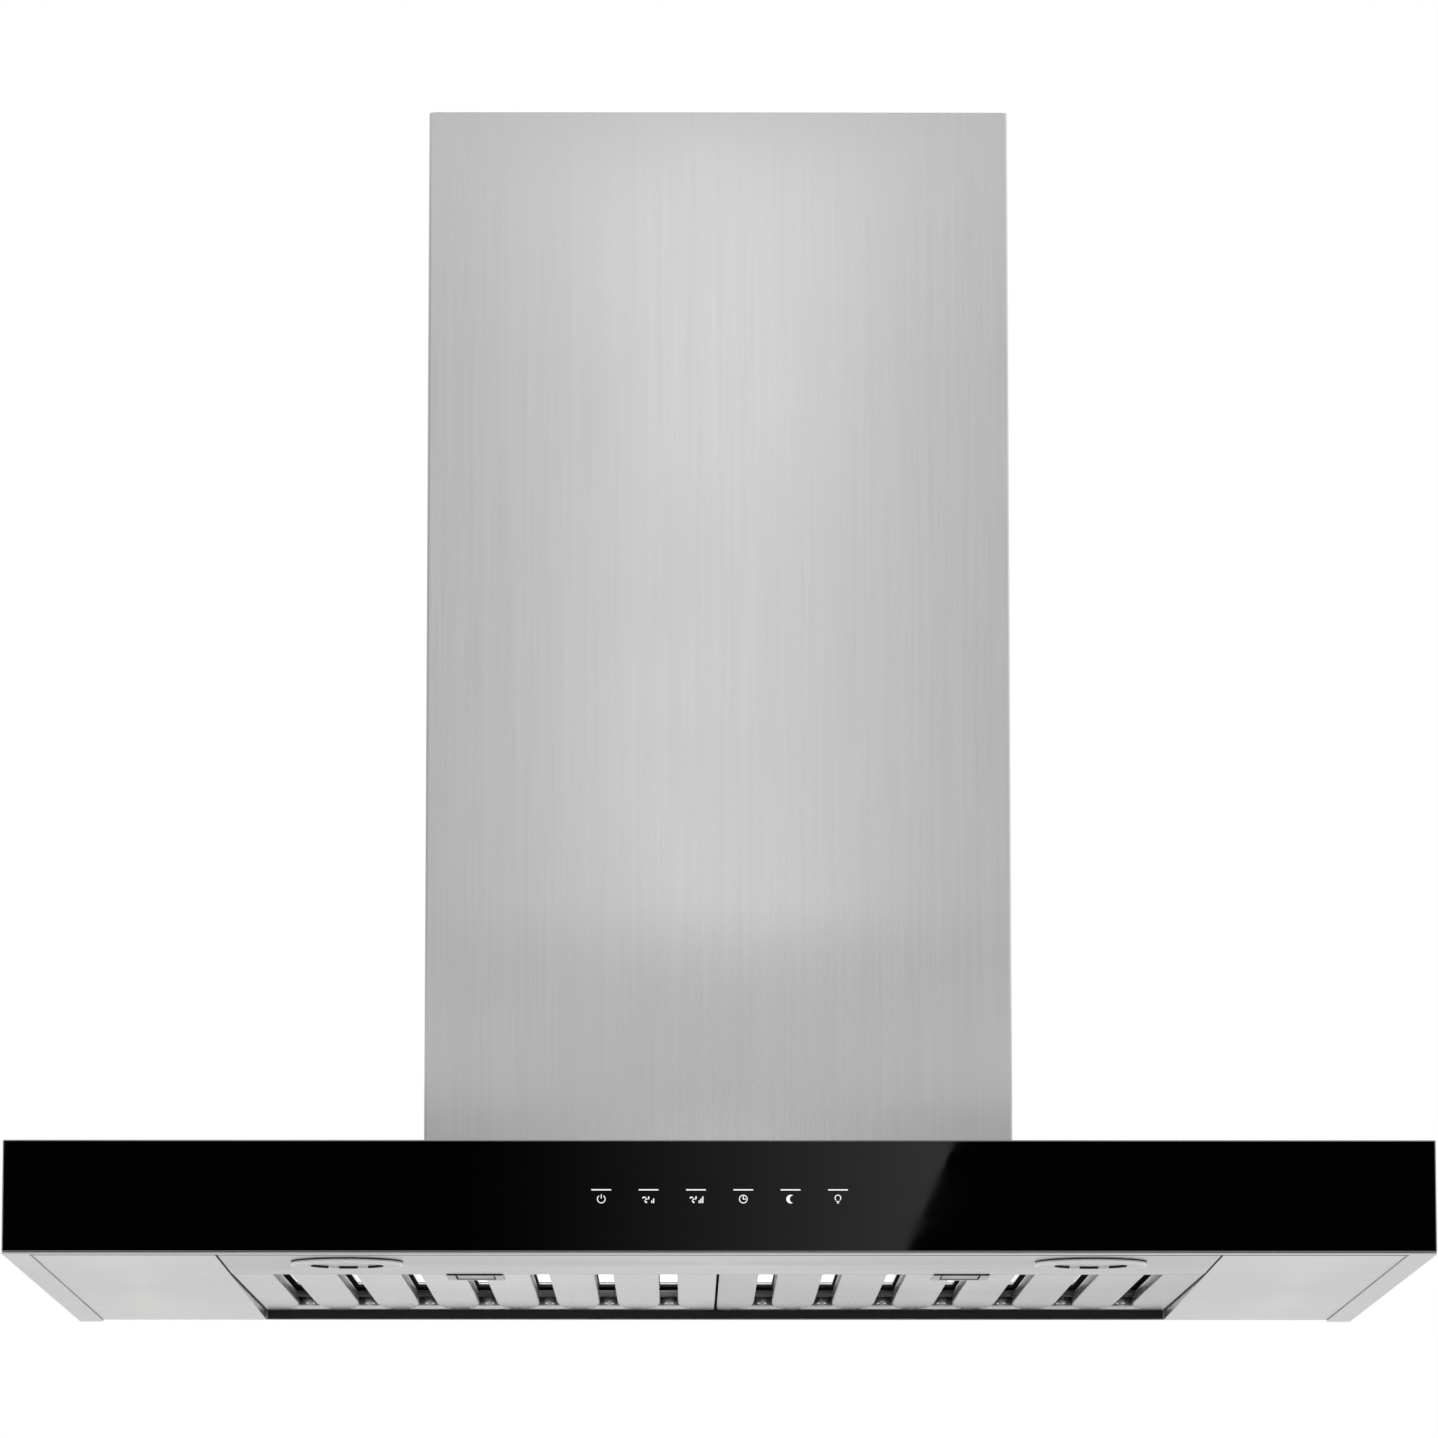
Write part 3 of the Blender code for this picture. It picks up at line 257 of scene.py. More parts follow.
def moulded(name, colour, rough):
    """Moulded plastic: a spark-eroded grain, and slight changes of tone."""
    made, tree, shader = new_material(name, Metallic=0.0, IOR=1.46)
    grain = noise(tree, 1100.0, 3.0)
    cloud = noise(tree, 30.0, 2.0)
    darker = tuple(c * 0.82 for c in colour)
    base = mixed(tree, cloud, darker, colour)
    paler = tuple(min(1.0, c * 1.5 + 0.02) for c in colour)
    coated(tree, shader, base, paler, 0.35)
    glossed(tree, shader, grain, rough - 0.07, rough + 0.07)
    bumped(tree, shader, grain, 0.15, 0.0001)
    return made


def frosted_lens(name):
    """Satin glass over an unlit lamp: milky, with a fine etched grain."""
    made, tree, shader = new_material(name, Metallic=0.0, IOR=1.5, Transmission_Weight=0.25)
    etch = noise(tree, 1600.0, 2.0)
    cloud = noise(tree, 70.0, 2.0)
    tree.links.new(mixed(tree, cloud, (0.66, 0.66, 0.65), (0.76, 0.76, 0.75)), shader.inputs["Base Color"])
    glossed(tree, shader, etch, 0.20, 0.34)
    bumped(tree, shader, etch, 0.10, 0.0001)
    return made


def lit_steel(name):
    """Bright steel with a little light of its own, standing in for a lit room seen in the slots."""
    made, tree, shader = new_material(name, Metallic=1.0, Emission_Strength=0.75)
    streak = noise(tree, (900.0, 20.0, 900.0), 2.0)
    shine = mixed(tree, streak, (0.90, 0.90, 0.90), (0.98, 0.98, 0.98))
    tree.links.new(shine, shader.inputs["Base Color"])
    tree.links.new(shine, shader.inputs["Emission Color"])
    glossed(tree, shader, streak, 0.15, 0.30)
    return made


def printed_mark(name):
    """White screen print with a slight glow from the light behind it."""
    made, tree, shader = new_material(name, Metallic=0.0, Emission_Strength=0.55)
    dots = noise(tree, 2600.0, 1.0)
    ink = mixed(tree, dots, (0.72, 0.73, 0.74), (0.86, 0.87, 0.88))
    tree.links.new(ink, shader.inputs["Base Color"])
    tree.links.new(ink, shader.inputs["Emission Color"])
    glossed(tree, shader, dots, 0.45, 0.6)
    return made


STEEL_UPRIGHT = brushed("steel_brushed_upright", "Z", 0.60, 0.30)
STEEL_ALONG = brushed("steel_brushed_along", "X", 0.62, 0.27, 0.020)
STEEL_DEEP = brushed("steel_brushed_deep", "Y", 0.65, 0.25, 0.018)
# Painted shade: a darker copy of the filter steel for the right filter, whose face shows less light.
STEEL_DEEP_SHADED_RIGHT = brushed("steel_brushed_deep_shaded_right", "Y", 0.52, 0.25, 0.018)
STEEL_LAMP = brushed("steel_brushed_lamps", "X", 0.53, 0.27, 0.015)
# Painted shade: the latch plate and its pull are darker copies of the brushed steel, for the shade in their
# recess.
STEEL_LATCH_SHADED = brushed("steel_brushed_latch_shaded", "X", 0.42, 0.34, 0.03)
STEEL_SLIDER_SHADED = brushed("steel_brushed_slider_shaded", "X", 0.36, 0.34, 0.03)
STEEL_GROUND = brushed("glass_edge_ground", "X", 0.30, 0.45, 0.03)
POLISHED = polished("steel_polished", 0.68, 0.10)
MIRROR = polished("steel_drawn_mirror", 0.74, 0.05)
# Painted shade: near-black steel where only shade falls, on the lips deep in the slots, the baffle's far side
# and the box behind the latch window.
SHADE_BLACK = painted_black("steel_in_shadow", 0.004, 0.55, 1.15)
RUBBER = painted_black("rubber_black", 0.005, 0.60, 1.25)
ZINC = galvanised("sheet_galvanised", 0.50, 0.42)
CHROME = chrome("chrome_plate")
BLACK_GLASS = black_glass("glass_black")
BLACK_PAINT = painted_black("paint_black", 0.005, 0.34, 1.24)
BLACK_PLASTIC = moulded("plastic_black", (0.022, 0.022, 0.023), 0.45)
BOARD = moulded("board_green", (0.015, 0.11, 0.05), 0.40)
SLEEVE = moulded("sleeve_grey", (0.42, 0.42, 0.43), 0.50)
LENS = frosted_lens("lens_frosted")
MOTOR_METAL = galvanised("motor_cast", 0.58, 0.36)
DAMPER_METAL = polished("damper_sheet", 0.66, 0.22)
SPRING_METAL = polished("spring_wire", 0.55, 0.20)
SHINE = lit_steel("steel_lit")
PRINT = printed_mark("print_white")


# ---- making pieces -------------------------------------------------
def smooth(mesh, angle=35):
    """Shades the mesh smooth apart from edges sharper than the angle."""
    mesh.shade_smooth()
    mesh.set_sharp_from_angle(angle=math.radians(angle))


def placed(name, data):
    """A new object in the scene."""
    made = bpy.data.objects.new(name, data)
    bpy.context.scene.collection.objects.link(made)
    return made


def piece(name, mesh, material, body, replaced=(), angle=35):
    """A piece that rides on a body, with its finish, in place of CAD nodes if any are named."""
    made = placed(name, mesh)
    mesh.materials.clear()
    for finish in material if isinstance(material, tuple) else (material,):
        mesh.materials.append(finish)
    smooth(mesh, angle)
    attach(made, body)
    if replaced:
        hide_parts(*replaced)
    return made


def thickened(obj, sheet):
    """Gives a flat shape the thickness of its sheet, inwards."""
    shell = obj.modifiers.new("sheet", "SOLIDIFY")
    shell.thickness = sheet
    shell.offset = -1.0
    return shell


def bevelled(obj, width, segments=3, angle=30):
    """Rounds a piece's folds and cut edges."""
    made = obj.modifiers.new("folds", "BEVEL")
    made.width = width
    made.segments = segments
    made.limit_method = "ANGLE"
    made.angle_limit = math.radians(angle)
    made.harden_normals = True
    return obj


def as_mesh(bm, name, turned=True):
    """The bmesh as mesh data, its faces turned outwards."""
    if turned:
        bmesh.ops.recalc_face_normals(bm, faces=bm.faces)
    mesh = bpy.data.meshes.new(name)
    bm.to_mesh(mesh)
    bm.free()
    return mesh


def block(low, high):
    """A plain block between two corners, as a bmesh."""
    bm = bmesh.new()
    bmesh.ops.create_cube(bm, size=1)
    bmesh.ops.scale(bm, vec=[b - a for a, b in zip(low, high)], verts=bm.verts)
    bmesh.ops.translate(bm, vec=[(a + b) / 2 for a, b in zip(low, high)], verts=bm.verts)
    return bm


def without_box(mesh, low, high):
    """The mesh with a box cut out of it."""
    tool = placed("tool", as_mesh(block(low, high), "tool"))
    body = placed("body", mesh)
    cut = body.modifiers.new("cut", "BOOLEAN")
    cut.object = tool
    cut.solver = "EXACT"
    depsgraph = bpy.context.evaluated_depsgraph_get()
    made = bpy.data.meshes.new_from_object(body.evaluated_get(depsgraph))
    for obj in (tool, body):
        bpy.data.objects.remove(obj)
    return made


def whole_faces(node, name):
    """The node's shape as mesh data, with its flat faces whole again."""
    bm = bmesh.new()
    bm.from_mesh(NODES[node].data)
    bmesh.ops.remove_doubles(bm, verts=bm.verts, dist=2e-6)
    bmesh.ops.dissolve_limit(bm, angle_limit=math.radians(1), verts=bm.verts, edges=bm.edges)
    return as_mesh(bm, name)


def refined(node, name, material, width, segments=3, angle=30, mesh=None):
    """The node's own shape with its edges rounded as bent sheet is."""
    mesh = mesh or whole_faces(node, name)
    made = piece(name, mesh, material, BODY_OF[node], (node,), 40)
    return bevelled(made, width, segments, angle)


def rounded_box(name, low, high, radius, material, body, replaced=(), seat=None):
    """A block with rounded edges, in the seat's own axes if one is given."""
    bm = block(low, high)
    bmesh.ops.bevel(bm, geom=bm.edges[:], offset=radius, segments=3, profile=0.5, affect="EDGES")
    if seat:
        bmesh.ops.transform(bm, matrix=seat, verts=bm.verts)
    made = piece(name, as_mesh(bm, name), material, body, replaced, 60)
    made.modifiers.new("shading", "WEIGHTED_NORMAL").keep_sharp = True
    return made


def finish_node(node, material):
    """Gives a CAD node, whose shape stays, its finish."""
    NODES[node].data.materials.clear()
    NODES[node].data.materials.append(material)
    smooth(NODES[node].data)


def arc(cx, cy, radius, start, end, count):
    """Points on a circle's arc, angles in degrees, both ends included."""
    return [
        (cx + radius * math.cos(math.radians(a)), cy + radius * math.sin(math.radians(a)))
        for a in (start + (end - start) * i / (count - 1) for i in range(count))
    ]


def round_points(radius, steps):
    """Points all the way round a circle about the origin."""
    turns = [2 * math.pi * k / steps for k in range(steps)]
    return [(radius * math.cos(a), radius * math.sin(a)) for a in turns]


def bridged(bm, first, second):
    """Faces between two closed rows of vertices."""
    count = len(first)
    return [
        bm.faces.new((first[k], first[(k + 1) % count], second[(k + 1) % count], second[k]))
        for k in range(count)
    ]


def lathe(profile, centre, steps=96):
    """Profile points (radius, height) turned about the upright through the centre, as a bmesh."""
    bm = bmesh.new()
    rings = []
    for radius, height in profile:
        if radius < 1e-7:
            rings.append([bm.verts.new((0, 0, height))] * steps)
        else:
            rings.append([bm.verts.new((x, y, height)) for x, y in round_points(radius, steps)])
    for low, high in zip(rings, rings[1:]):
        for k in range(steps):
            corners = [low[k], low[(k + 1) % steps], high[(k + 1) % steps], high[k]]
            unique = list(dict.fromkeys(corners))
            if len(unique) > 2:
                bm.faces.new(unique)
    bmesh.ops.translate(bm, vec=centre, verts=bm.verts)
    return bm


# ---- chimney -------------------------------------------------------
FOLD = 2.2 * MM
COVER_SHEET = 0.8 * MM
LOWER_HEM = 0.9 * MM
UPPER_HEM = 0.7 * MM
SCREW_FROM_SEAM = 12 * MM
SCREW_FROM_END = 26 * MM


def folded_cover(node, name, material, hem):
    """One U-shaped half of a chimney section: round folds, and a hem turned in along its lower edge."""
    low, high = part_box(node)
    side = -1 if "front" in node else 1
    face_y = low.y if side < 0 else high.y
    seam_y = high.y if side < 0 else low.y
    half = high.x
    corner_r = arc(half - FOLD, 0, FOLD, 0, 90, 9)
    path = [(half, seam_y)]
    path += [(x, face_y - side * FOLD + side * y) for x, y in corner_r]
    path += [(-x, face_y - side * FOLD + side * y) for x, y in reversed(corner_r)]
    path += [(-half, seam_y)]
    rows = [(low.z + 0.6 * MM, hem), (low.z, 0.6 * hem)]
    rows += [(low.z + 0.15 * MM, 0.2 * MM), (low.z + 0.7 * MM, 0.0)]
    rows += [(low.z + (high.z - low.z) * t, 0.0) for t in (0.25, 0.5, 0.75)]
    rows += [(high.z - 0.5 * MM, 0.0), (high.z, 0.25 * MM)]
    bm = bmesh.new()
    grid = []
    for z, inset in rows:
        scale_x = (half - inset) / half
        row = []
        for x, y in path:
            inset_y = y - side * inset if abs(y - seam_y) > FOLD else y
            row.append(bm.verts.new((x * scale_x, inset_y, z)))
        grid.append(row)
    for lower, upper in zip(grid, grid[1:]):
        for i in range(len(path) - 1):
            bm.faces.new((lower[i], lower[i + 1], upper[i + 1], upper[i]))
    if side < 0:
        bmesh.ops.reverse_faces(bm, faces=bm.faces)
    made = piece(name, as_mesh(bm, name, False), material, BODY_OF[node], (node,), 50)
    thickened(made, COVER_SHEET)
    return made


def pan_screw(name, centre, outwards, body, radius=3.6 * MM, height=1.9 * MM):
    """A pan-head screw with a cross recess, its head standing out along a side direction."""
    bm = bmesh.new()
    profile = [(radius, 0.0), (radius, height * 0.35)]
    profile += [(radius * 0.9, height * 0.72), (radius * 0.66, height * 0.95)]
    rings = [[bm.verts.new((x, y, z)) for x, y in round_points(r, 40)] for r, z in profile]
    for low, high in zip(rings, rings[1:]):
        bridged(bm, low, high)
    arm, slot_half = radius * 0.5, radius * 0.13
    cross = []
    for k in range(4):
        turn = Matrix.Rotation(k * math.pi / 2, 2)
        corner = ((arm, -slot_half), (arm, slot_half), (slot_half, slot_half))
        cross += [tuple(turn @ Vector(p)) for p in corner]
    rim = [bm.verts.new((x, y, height)) for x, y in cross]
    floor = [bm.verts.new((x * 0.7, y * 0.7, height * 0.35)) for x, y in cross]
    bridged(bm, rim, floor)
    bm.faces.new(floor)
    outer = [Vector((v.co.x, v.co.y, height)) for v in rings[-1]]
    verts = [*rings[-1], *rim]
    for triangle in tessellate_polygon([outer, [v.co.copy() for v in rim]]):
        bm.faces.new([verts[i] for i in triangle])
    bmesh.ops.recalc_face_normals(bm, faces=bm.faces)
    turn = Vector((0, 0, 1)).rotation_difference(Vector(outwards)).to_matrix().to_4x4()
    bmesh.ops.transform(bm, matrix=Matrix.Translation(centre) @ turn, verts=bm.verts)
    return piece(name, as_mesh(bm, name, False), ZINC, body)


def chimney():
    """The lower section that shows, the nested upper one, and the screws along the side seams."""
    for half in ("front", "rear"):
        folded_cover(f"lower_cover_{half}", f"chimney_lower_{half}", STEEL_UPRIGHT, LOWER_HEM)
        folded_cover(f"upper_cover_{half}", f"chimney_upper_{half}", STEEL_UPRIGHT, UPPER_HEM)
    levels = {"top": COVER_HIGH.z - SCREW_FROM_END, "foot": COVER_LOW.z + SCREW_FROM_END}
    for side_name, side in SIDES.items():
        for half, y in (("front", -SCREW_FROM_SEAM), ("rear", SCREW_FROM_SEAM)):
            for level, z in levels.items():
                spot = Vector((side * COVER_HIGH.x, y, z))
                pan_screw(f"cover_screw_{side_name}_{half}_{level}", spot, (side, 0, 0), "hood")


# ---- filters -------------------------------------------------------
SLOT_COUNT = 7
SLOT_PITCH = 42 * MM
SLOT_HALF = (6.9 * MM, 8.2 * MM)  # at the front and where the bell starts
FLARE_HALF = 13.4 * MM
THROAT_HALF = 6.2 * MM
SLOT_FRONT = 3 * MM
SLOT_REAR = 25 * MM
LIP_RISE = 7.8 * MM
LIP_ROUND = 1.6 * MM
BELL_NOSE = 5 * MM
BELL_SWELL = 64 * MM
RIM_OUT = 1 * MM
RIM_RADIUS = 0.9 * MM
RIM_HEIGHT = 0.4 * MM
RIVET_ASIDE = 2.2 * MM
RIVET_BACK = 6.4 * MM
RIVET_UP = 3.6 * MM
RIVET_RADIUS = 1.1 * MM
LATCH_DEPTH = 58 * MM
LATCH_HALF = 18.8 * MM  # half the notch that the latch sits in
LATCH_PLATE_HALF = 18.6 * MM
LATCH_GAP_SHADE_HALF = 17.85 * MM
LATCH_WINDOW_HALF = 13.3 * MM
LATCH_PULL_HALF = 11.9 * MM
LATCH_PROUD = 0.7 * MM
LATCH_TRAVEL = 6 * MM
BAFFLE_UP = 14 * MM
BAFFLE_MARGIN = 3 * MM
OPENING_HALF = 8 * MM
OPENING_THROAT_HALF = 5 * MM
FACE_SHEET = 0.8 * MM
SHINE_REAR = -105 * MM
SHINE_OUT = 6.2 * MM
SHINE_IN = 12.5 * MM
SHINE_THICK = 0.25 * MM


def filter_seat(name):
    """The filter's rear bottom edge as a matrix: its own X, Y and Z, with Y along the tilted face."""
    slide = Vector(JOINTS[f"latch_slide_{name}"]["axis"])
    tilt = math.atan2(slide.z, slide.y)
    return Matrix.Translation(Vector(JOINTS[f"filter_hinge_{name}"]["pos_m"])) @ Matrix.Rotation(tilt, 4, "X")


def filter_size(name):
    """Half the face's width, and its length along the tilt."""
    low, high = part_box(f"filter_face_{name}")
    tilt = filter_seat(name).to_euler().x
    return (high.x - low.x) / 2, (high.y - low.y) / math.cos(tilt)


def slot_loop(x, front, rear, halves, flare, nose, swell, count=14):
    """A slot's outline about x: a rounded front, straight sides, and a rear end that opens like a bell."""
    narrow, wide = halves
    corner = min(narrow, 3 * MM)
    turn = rear - nose
    right = arc(x + narrow - corner, front + corner, corner, -90, 0, 5)
    side = [
        (x + narrow + (wide - narrow) * t, front + (turn - swell - front) * t)
        for t in (0.2, 0.4, 0.6, 0.8)
    ]
    bell = []
    for i in range(count + 1):
        t = i / count
        bell.append((x + wide + (flare - wide) * t**2.6, turn - swell + swell * t))
    end = [
        (x + flare * math.cos(a), turn + nose * math.sin(a))
        for a in (math.pi / 2 * k / 8 for k in range(1, 9))
    ]
    right = [*right, *side, *bell, *end]
    left = [(2 * x - px, py) for px, py in reversed(right[:-1])]
    return [*right, *left]


def pierced(
    name, edge, slots, lip_rise, lip_round, steps, body, material, replaced, seat, rise, upwards,
    back=0, shadow=None,
):
    """A flat sheet inside an edge, its slots given as (outer, throat) outlines joined by drawn lips.

    The materials are the sheet's, the lips' and, for lips that lie behind the shadow line, the dark one.
    """
    bm = bmesh.new()
    way = 1 if upwards else -1
    loops = [[bm.verts.new((x, y, 0)) for x, y in edge]]
    turns = [math.pi / 2 * k / steps for k in range(1, steps + 1)]
    stages = [(math.sin(a), lip_round * (1 - math.cos(a))) for a in turns]
    stages.append((1.0, lip_rise))
    lip_faces = []
    for mouth, throat in slots:
        below = [bm.verts.new((x, y, 0)) for x, y in mouth]
        loops.append(below)
        for share, height in stages:
            row = [
                bm.verts.new((mx + (tx - mx) * share, my + (ty - my) * share, way * height))
                for (mx, my), (tx, ty) in zip(mouth, throat)
            ]
            lip_faces += bridged(bm, below, row)
            below = row
    verts = [v for loop in loops for v in loop]
    for triangle in tessellate_polygon([[v.co.copy() for v in loop] for loop in loops]):
        bm.faces.new([verts[i] for i in triangle])
    bmesh.ops.recalc_face_normals(bm, faces=bm.faces)
    flat = next(f for f in bm.faces if f not in set(lip_faces))
    if flat.normal.z * way > 0:
        bmesh.ops.reverse_faces(bm, faces=bm.faces)
    for face in lip_faces:
        middle = face.calc_center_median()
        deep = shadow is not None and middle.y > shadow and abs(middle.z) > 0.04 * lip_rise
        face.material_index = 2 if deep else 1
    bmesh.ops.transform(bm, matrix=seat @ Matrix.Translation((0, 0, rise)), verts=bm.verts)
    made = piece(name, as_mesh(bm, name, False), material, body, replaced, 60)
    thickened(made, FACE_SHEET).material_offset = back
    made.modifiers.new("shading", "WEIGHTED_NORMAL").keep_sharp = True
    return made


def notched(half, front, rear, notch, notch_rear):
    """A rectangle about x = 0 with a notch in the middle of its front edge."""
    return [
        (-half, front), (-notch, front), (-notch, notch_rear), (notch, notch_rear),
        (notch, front), (half, front), (half, rear), (-half, rear),
    ]


def swept(bm, path, radius, height, steps=10):
    """A bead along a flat path, thinning to nothing at both ends."""
    rings = []
    for i, (x, y) in enumerate(path):
        before, after = path[max(i - 1, 0)], path[min(i + 1, len(path) - 1)]
        along = Vector((after[0] - before[0], after[1] - before[1], 0)).normalized()
        across = Vector((-along.y, along.x, 0))
        thin = math.sin(math.pi * (i + 0.15) / (len(path) - 0.7)) ** 0.6
        ring = []
        for k in range(steps):
            a = 2 * math.pi * k / steps
            offset = across * radius * thin * math.cos(a) + Vector((0, 0, height * thin * math.sin(a)))
            ring.append(bm.verts.new(Vector((x, y, 0)) + offset))
        rings.append(ring)
    for first, second in zip(rings, rings[1:]):
        bridged(bm, first, second)
    bm.faces.new(rings[0])
    bm.faces.new(rings[-1])


def dome(bm, centre, radius, steps=14):
    """A rivet's round head, facing down."""
    rings = []
    for j in range(5):
        a = math.pi / 2 * j / 5
        r, z = radius * math.cos(a), -radius * 0.8 * math.sin(a)
        rings.append([bm.verts.new(centre + Vector((x, y, z))) for x, y in round_points(r, steps)])
    for low, high in zip(rings, rings[1:]):
        bridged(bm, low, high)
    bm.faces.new(rings[-1])
    bm.faces.new(rings[0])


def slot_places():
    """The slots' middles across the filter."""
    return [(i - (SLOT_COUNT - 1) / 2) * SLOT_PITCH for i in range(SLOT_COUNT)]


def glowing_strip(bm, x, side, low, high):
    """A thin strip just under the baffle, as wide as a slot shows of it; it glows, a painted light seen up
    through the slot.
    """
    first, last = sorted((x + side * SHINE_OUT, x - side * SHINE_IN))
    z = BAFFLE_UP - 0.3 * MM
    corners = [(first, low, z), (last, low, z), (last, high, z), (first, high, z)]
    under = [bm.verts.new(c) for c in corners]
    above = [bm.verts.new((cx, cy, cz + SHINE_THICK)) for cx, cy, cz in corners]
    bm.faces.new(under)
    bm.faces.new(reversed(above))
    bridged(bm, under, above)


def filter_slots(name, front, latch_rear):
    """The slots' outlines, and their rims, rivets and glowing strips of painted light as bmeshes."""
    slots, rims, rivets, shine = [], bmesh.new(), bmesh.new(), bmesh.new()
    throat_halves = (THROAT_HALF, THROAT_HALF)
    throat_rear = -SLOT_REAR - 6 * MM
    rim_flare = FLARE_HALF + RIM_OUT
    for x in slot_places():
        start = latch_rear + 2.5 * MM if abs(x) < LATCH_HALF else front + SLOT_FRONT
        mouth = slot_loop(x, start, -SLOT_REAR, SLOT_HALF, FLARE_HALF, BELL_NOSE, BELL_SWELL)
        throat = slot_loop(x, start + 0.8 * MM, throat_rear, throat_halves, 8.6 * MM, 4 * MM, 60 * MM)
        slots.append((mouth, throat))
        outline = slot_loop(x, start, -SLOT_REAR + RIM_OUT, SLOT_HALF, rim_flare, BELL_NOSE, BELL_SWELL, 28)
        rear_end = [point for point in outline if point[1] > -SLOT_REAR - 8 * MM]
        swept(rims, rear_end, RIM_RADIUS, RIM_HEIGHT)
        for side in (-1, 1):
            spot = Vector((x + side * RIVET_ASIDE, -SLOT_REAR - RIVET_BACK, RIVET_UP))
            dome(rivets, spot, RIVET_RADIUS)
        # The strips glow: painted light in the slots.
        for low, high in ((start + 8 * MM, SHINE_REAR), (SHINE_REAR + 14 * MM, SHINE_REAR + 21 * MM)):
            glowing_strip(shine, x, SIDES[name], low, high)
    return slots, rims, rivets, shine


def baffle_openings(front, latch_rear):
    """The baffle's openings, one over each bar between two slots, as (outer, throat) outlines."""
    outer_halves = (OPENING_HALF, OPENING_HALF)
    inner_halves = (OPENING_THROAT_HALF, OPENING_THROAT_HALF)
    openings = []
    for i in range(SLOT_COUNT - 1):
        x = (i - (SLOT_COUNT - 2) / 2) * SLOT_PITCH
        start = latch_rear + 6 * MM if abs(x) < SLOT_PITCH else front + 14 * MM
        mouth = slot_loop(x, start, -26 * MM, outer_halves, OPENING_HALF, 4 * MM, 6 * MM)
        throat = slot_loop(
            x, start + 3 * MM, -29 * MM, inner_halves, OPENING_THROAT_HALF, 2.5 * MM, 6 * MM,
        )
        openings.append((mouth, throat))
    return openings


def filter_sheets(name):
    """One filter: its face with the drawn slots and their trim, the baffle above, and the frame."""
    seat = filter_seat(name)
    half, length = filter_size(name)
    half -= 0.5 * MM
    body = f"filter_{name}"
    front = -length
    latch_rear = front + LATCH_DEPTH
    slots, rims, rivets, shine = filter_slots(name, front, latch_rear)
    for bm in (rims, rivets, shine):
        bmesh.ops.transform(bm, matrix=seat, verts=bm.verts)
    piece(f"slot_rims_{name}", as_mesh(rims, "rims"), POLISHED, body, (), 80)
    piece(f"slot_rivets_{name}", as_mesh(rivets, "rivets"), CHROME, body, (), 80)
    # Strips that glow: painted light in the slots.
    piece(f"baffle_strips_{name}", as_mesh(shine, "strips"), SHINE, body)
    edge = notched(half, front, 0, LATCH_HALF, latch_rear + 0.3 * MM)
    # The right filter takes the darker copy of its steel: painted shade.
    sheet = STEEL_DEEP if name == "left" else STEEL_DEEP_SHADED_RIGHT
    # The lips deep in each slot are painted shade, in the near-black steel.
    pierced(
        f"baffle_face_{name}", edge, slots, LIP_RISE, LIP_ROUND, 7, body, (sheet, MIRROR, SHADE_BLACK),
        (f"filter_face_{name}",), seat, 0.0, True, shadow=-SLOT_REAR - 17 * MM,
    )
    openings = baffle_openings(front, latch_rear)
    notch = LATCH_HALF + 0.8 * MM
    edge = notched(half - BAFFLE_MARGIN, front + BAFFLE_MARGIN, -BAFFLE_MARGIN, notch, latch_rear + 1 * MM)
    # The baffle's far side is painted shade, in the near-black steel.
    pierced(
        f"baffle_upper_{name}", edge, openings, 5 * MM, 3 * MM, 5, body, (sheet, POLISHED, SHADE_BLACK, SHADE_BLACK),
        (f"filter_baffle_{name}",), seat, BAFFLE_UP + FACE_SHEET, False, 2,
    )
    refined(f"filter_frame_{name}", f"filter_rim_{name}", STEEL_ALONG, 0.5 * MM, 2)


def rounded_outline(half, low, high, corner):
    """A rectangle about x = 0 with round corners."""
    return [
        *arc(half - corner, low + corner, corner, -90, 0, 5),
        *arc(half - corner, high - corner, corner, 0, 90, 5),
        *arc(-half + corner, high - corner, corner, 90, 180, 5),
        *arc(-half + corner, low + corner, corner, 180, 270, 5),
    ]


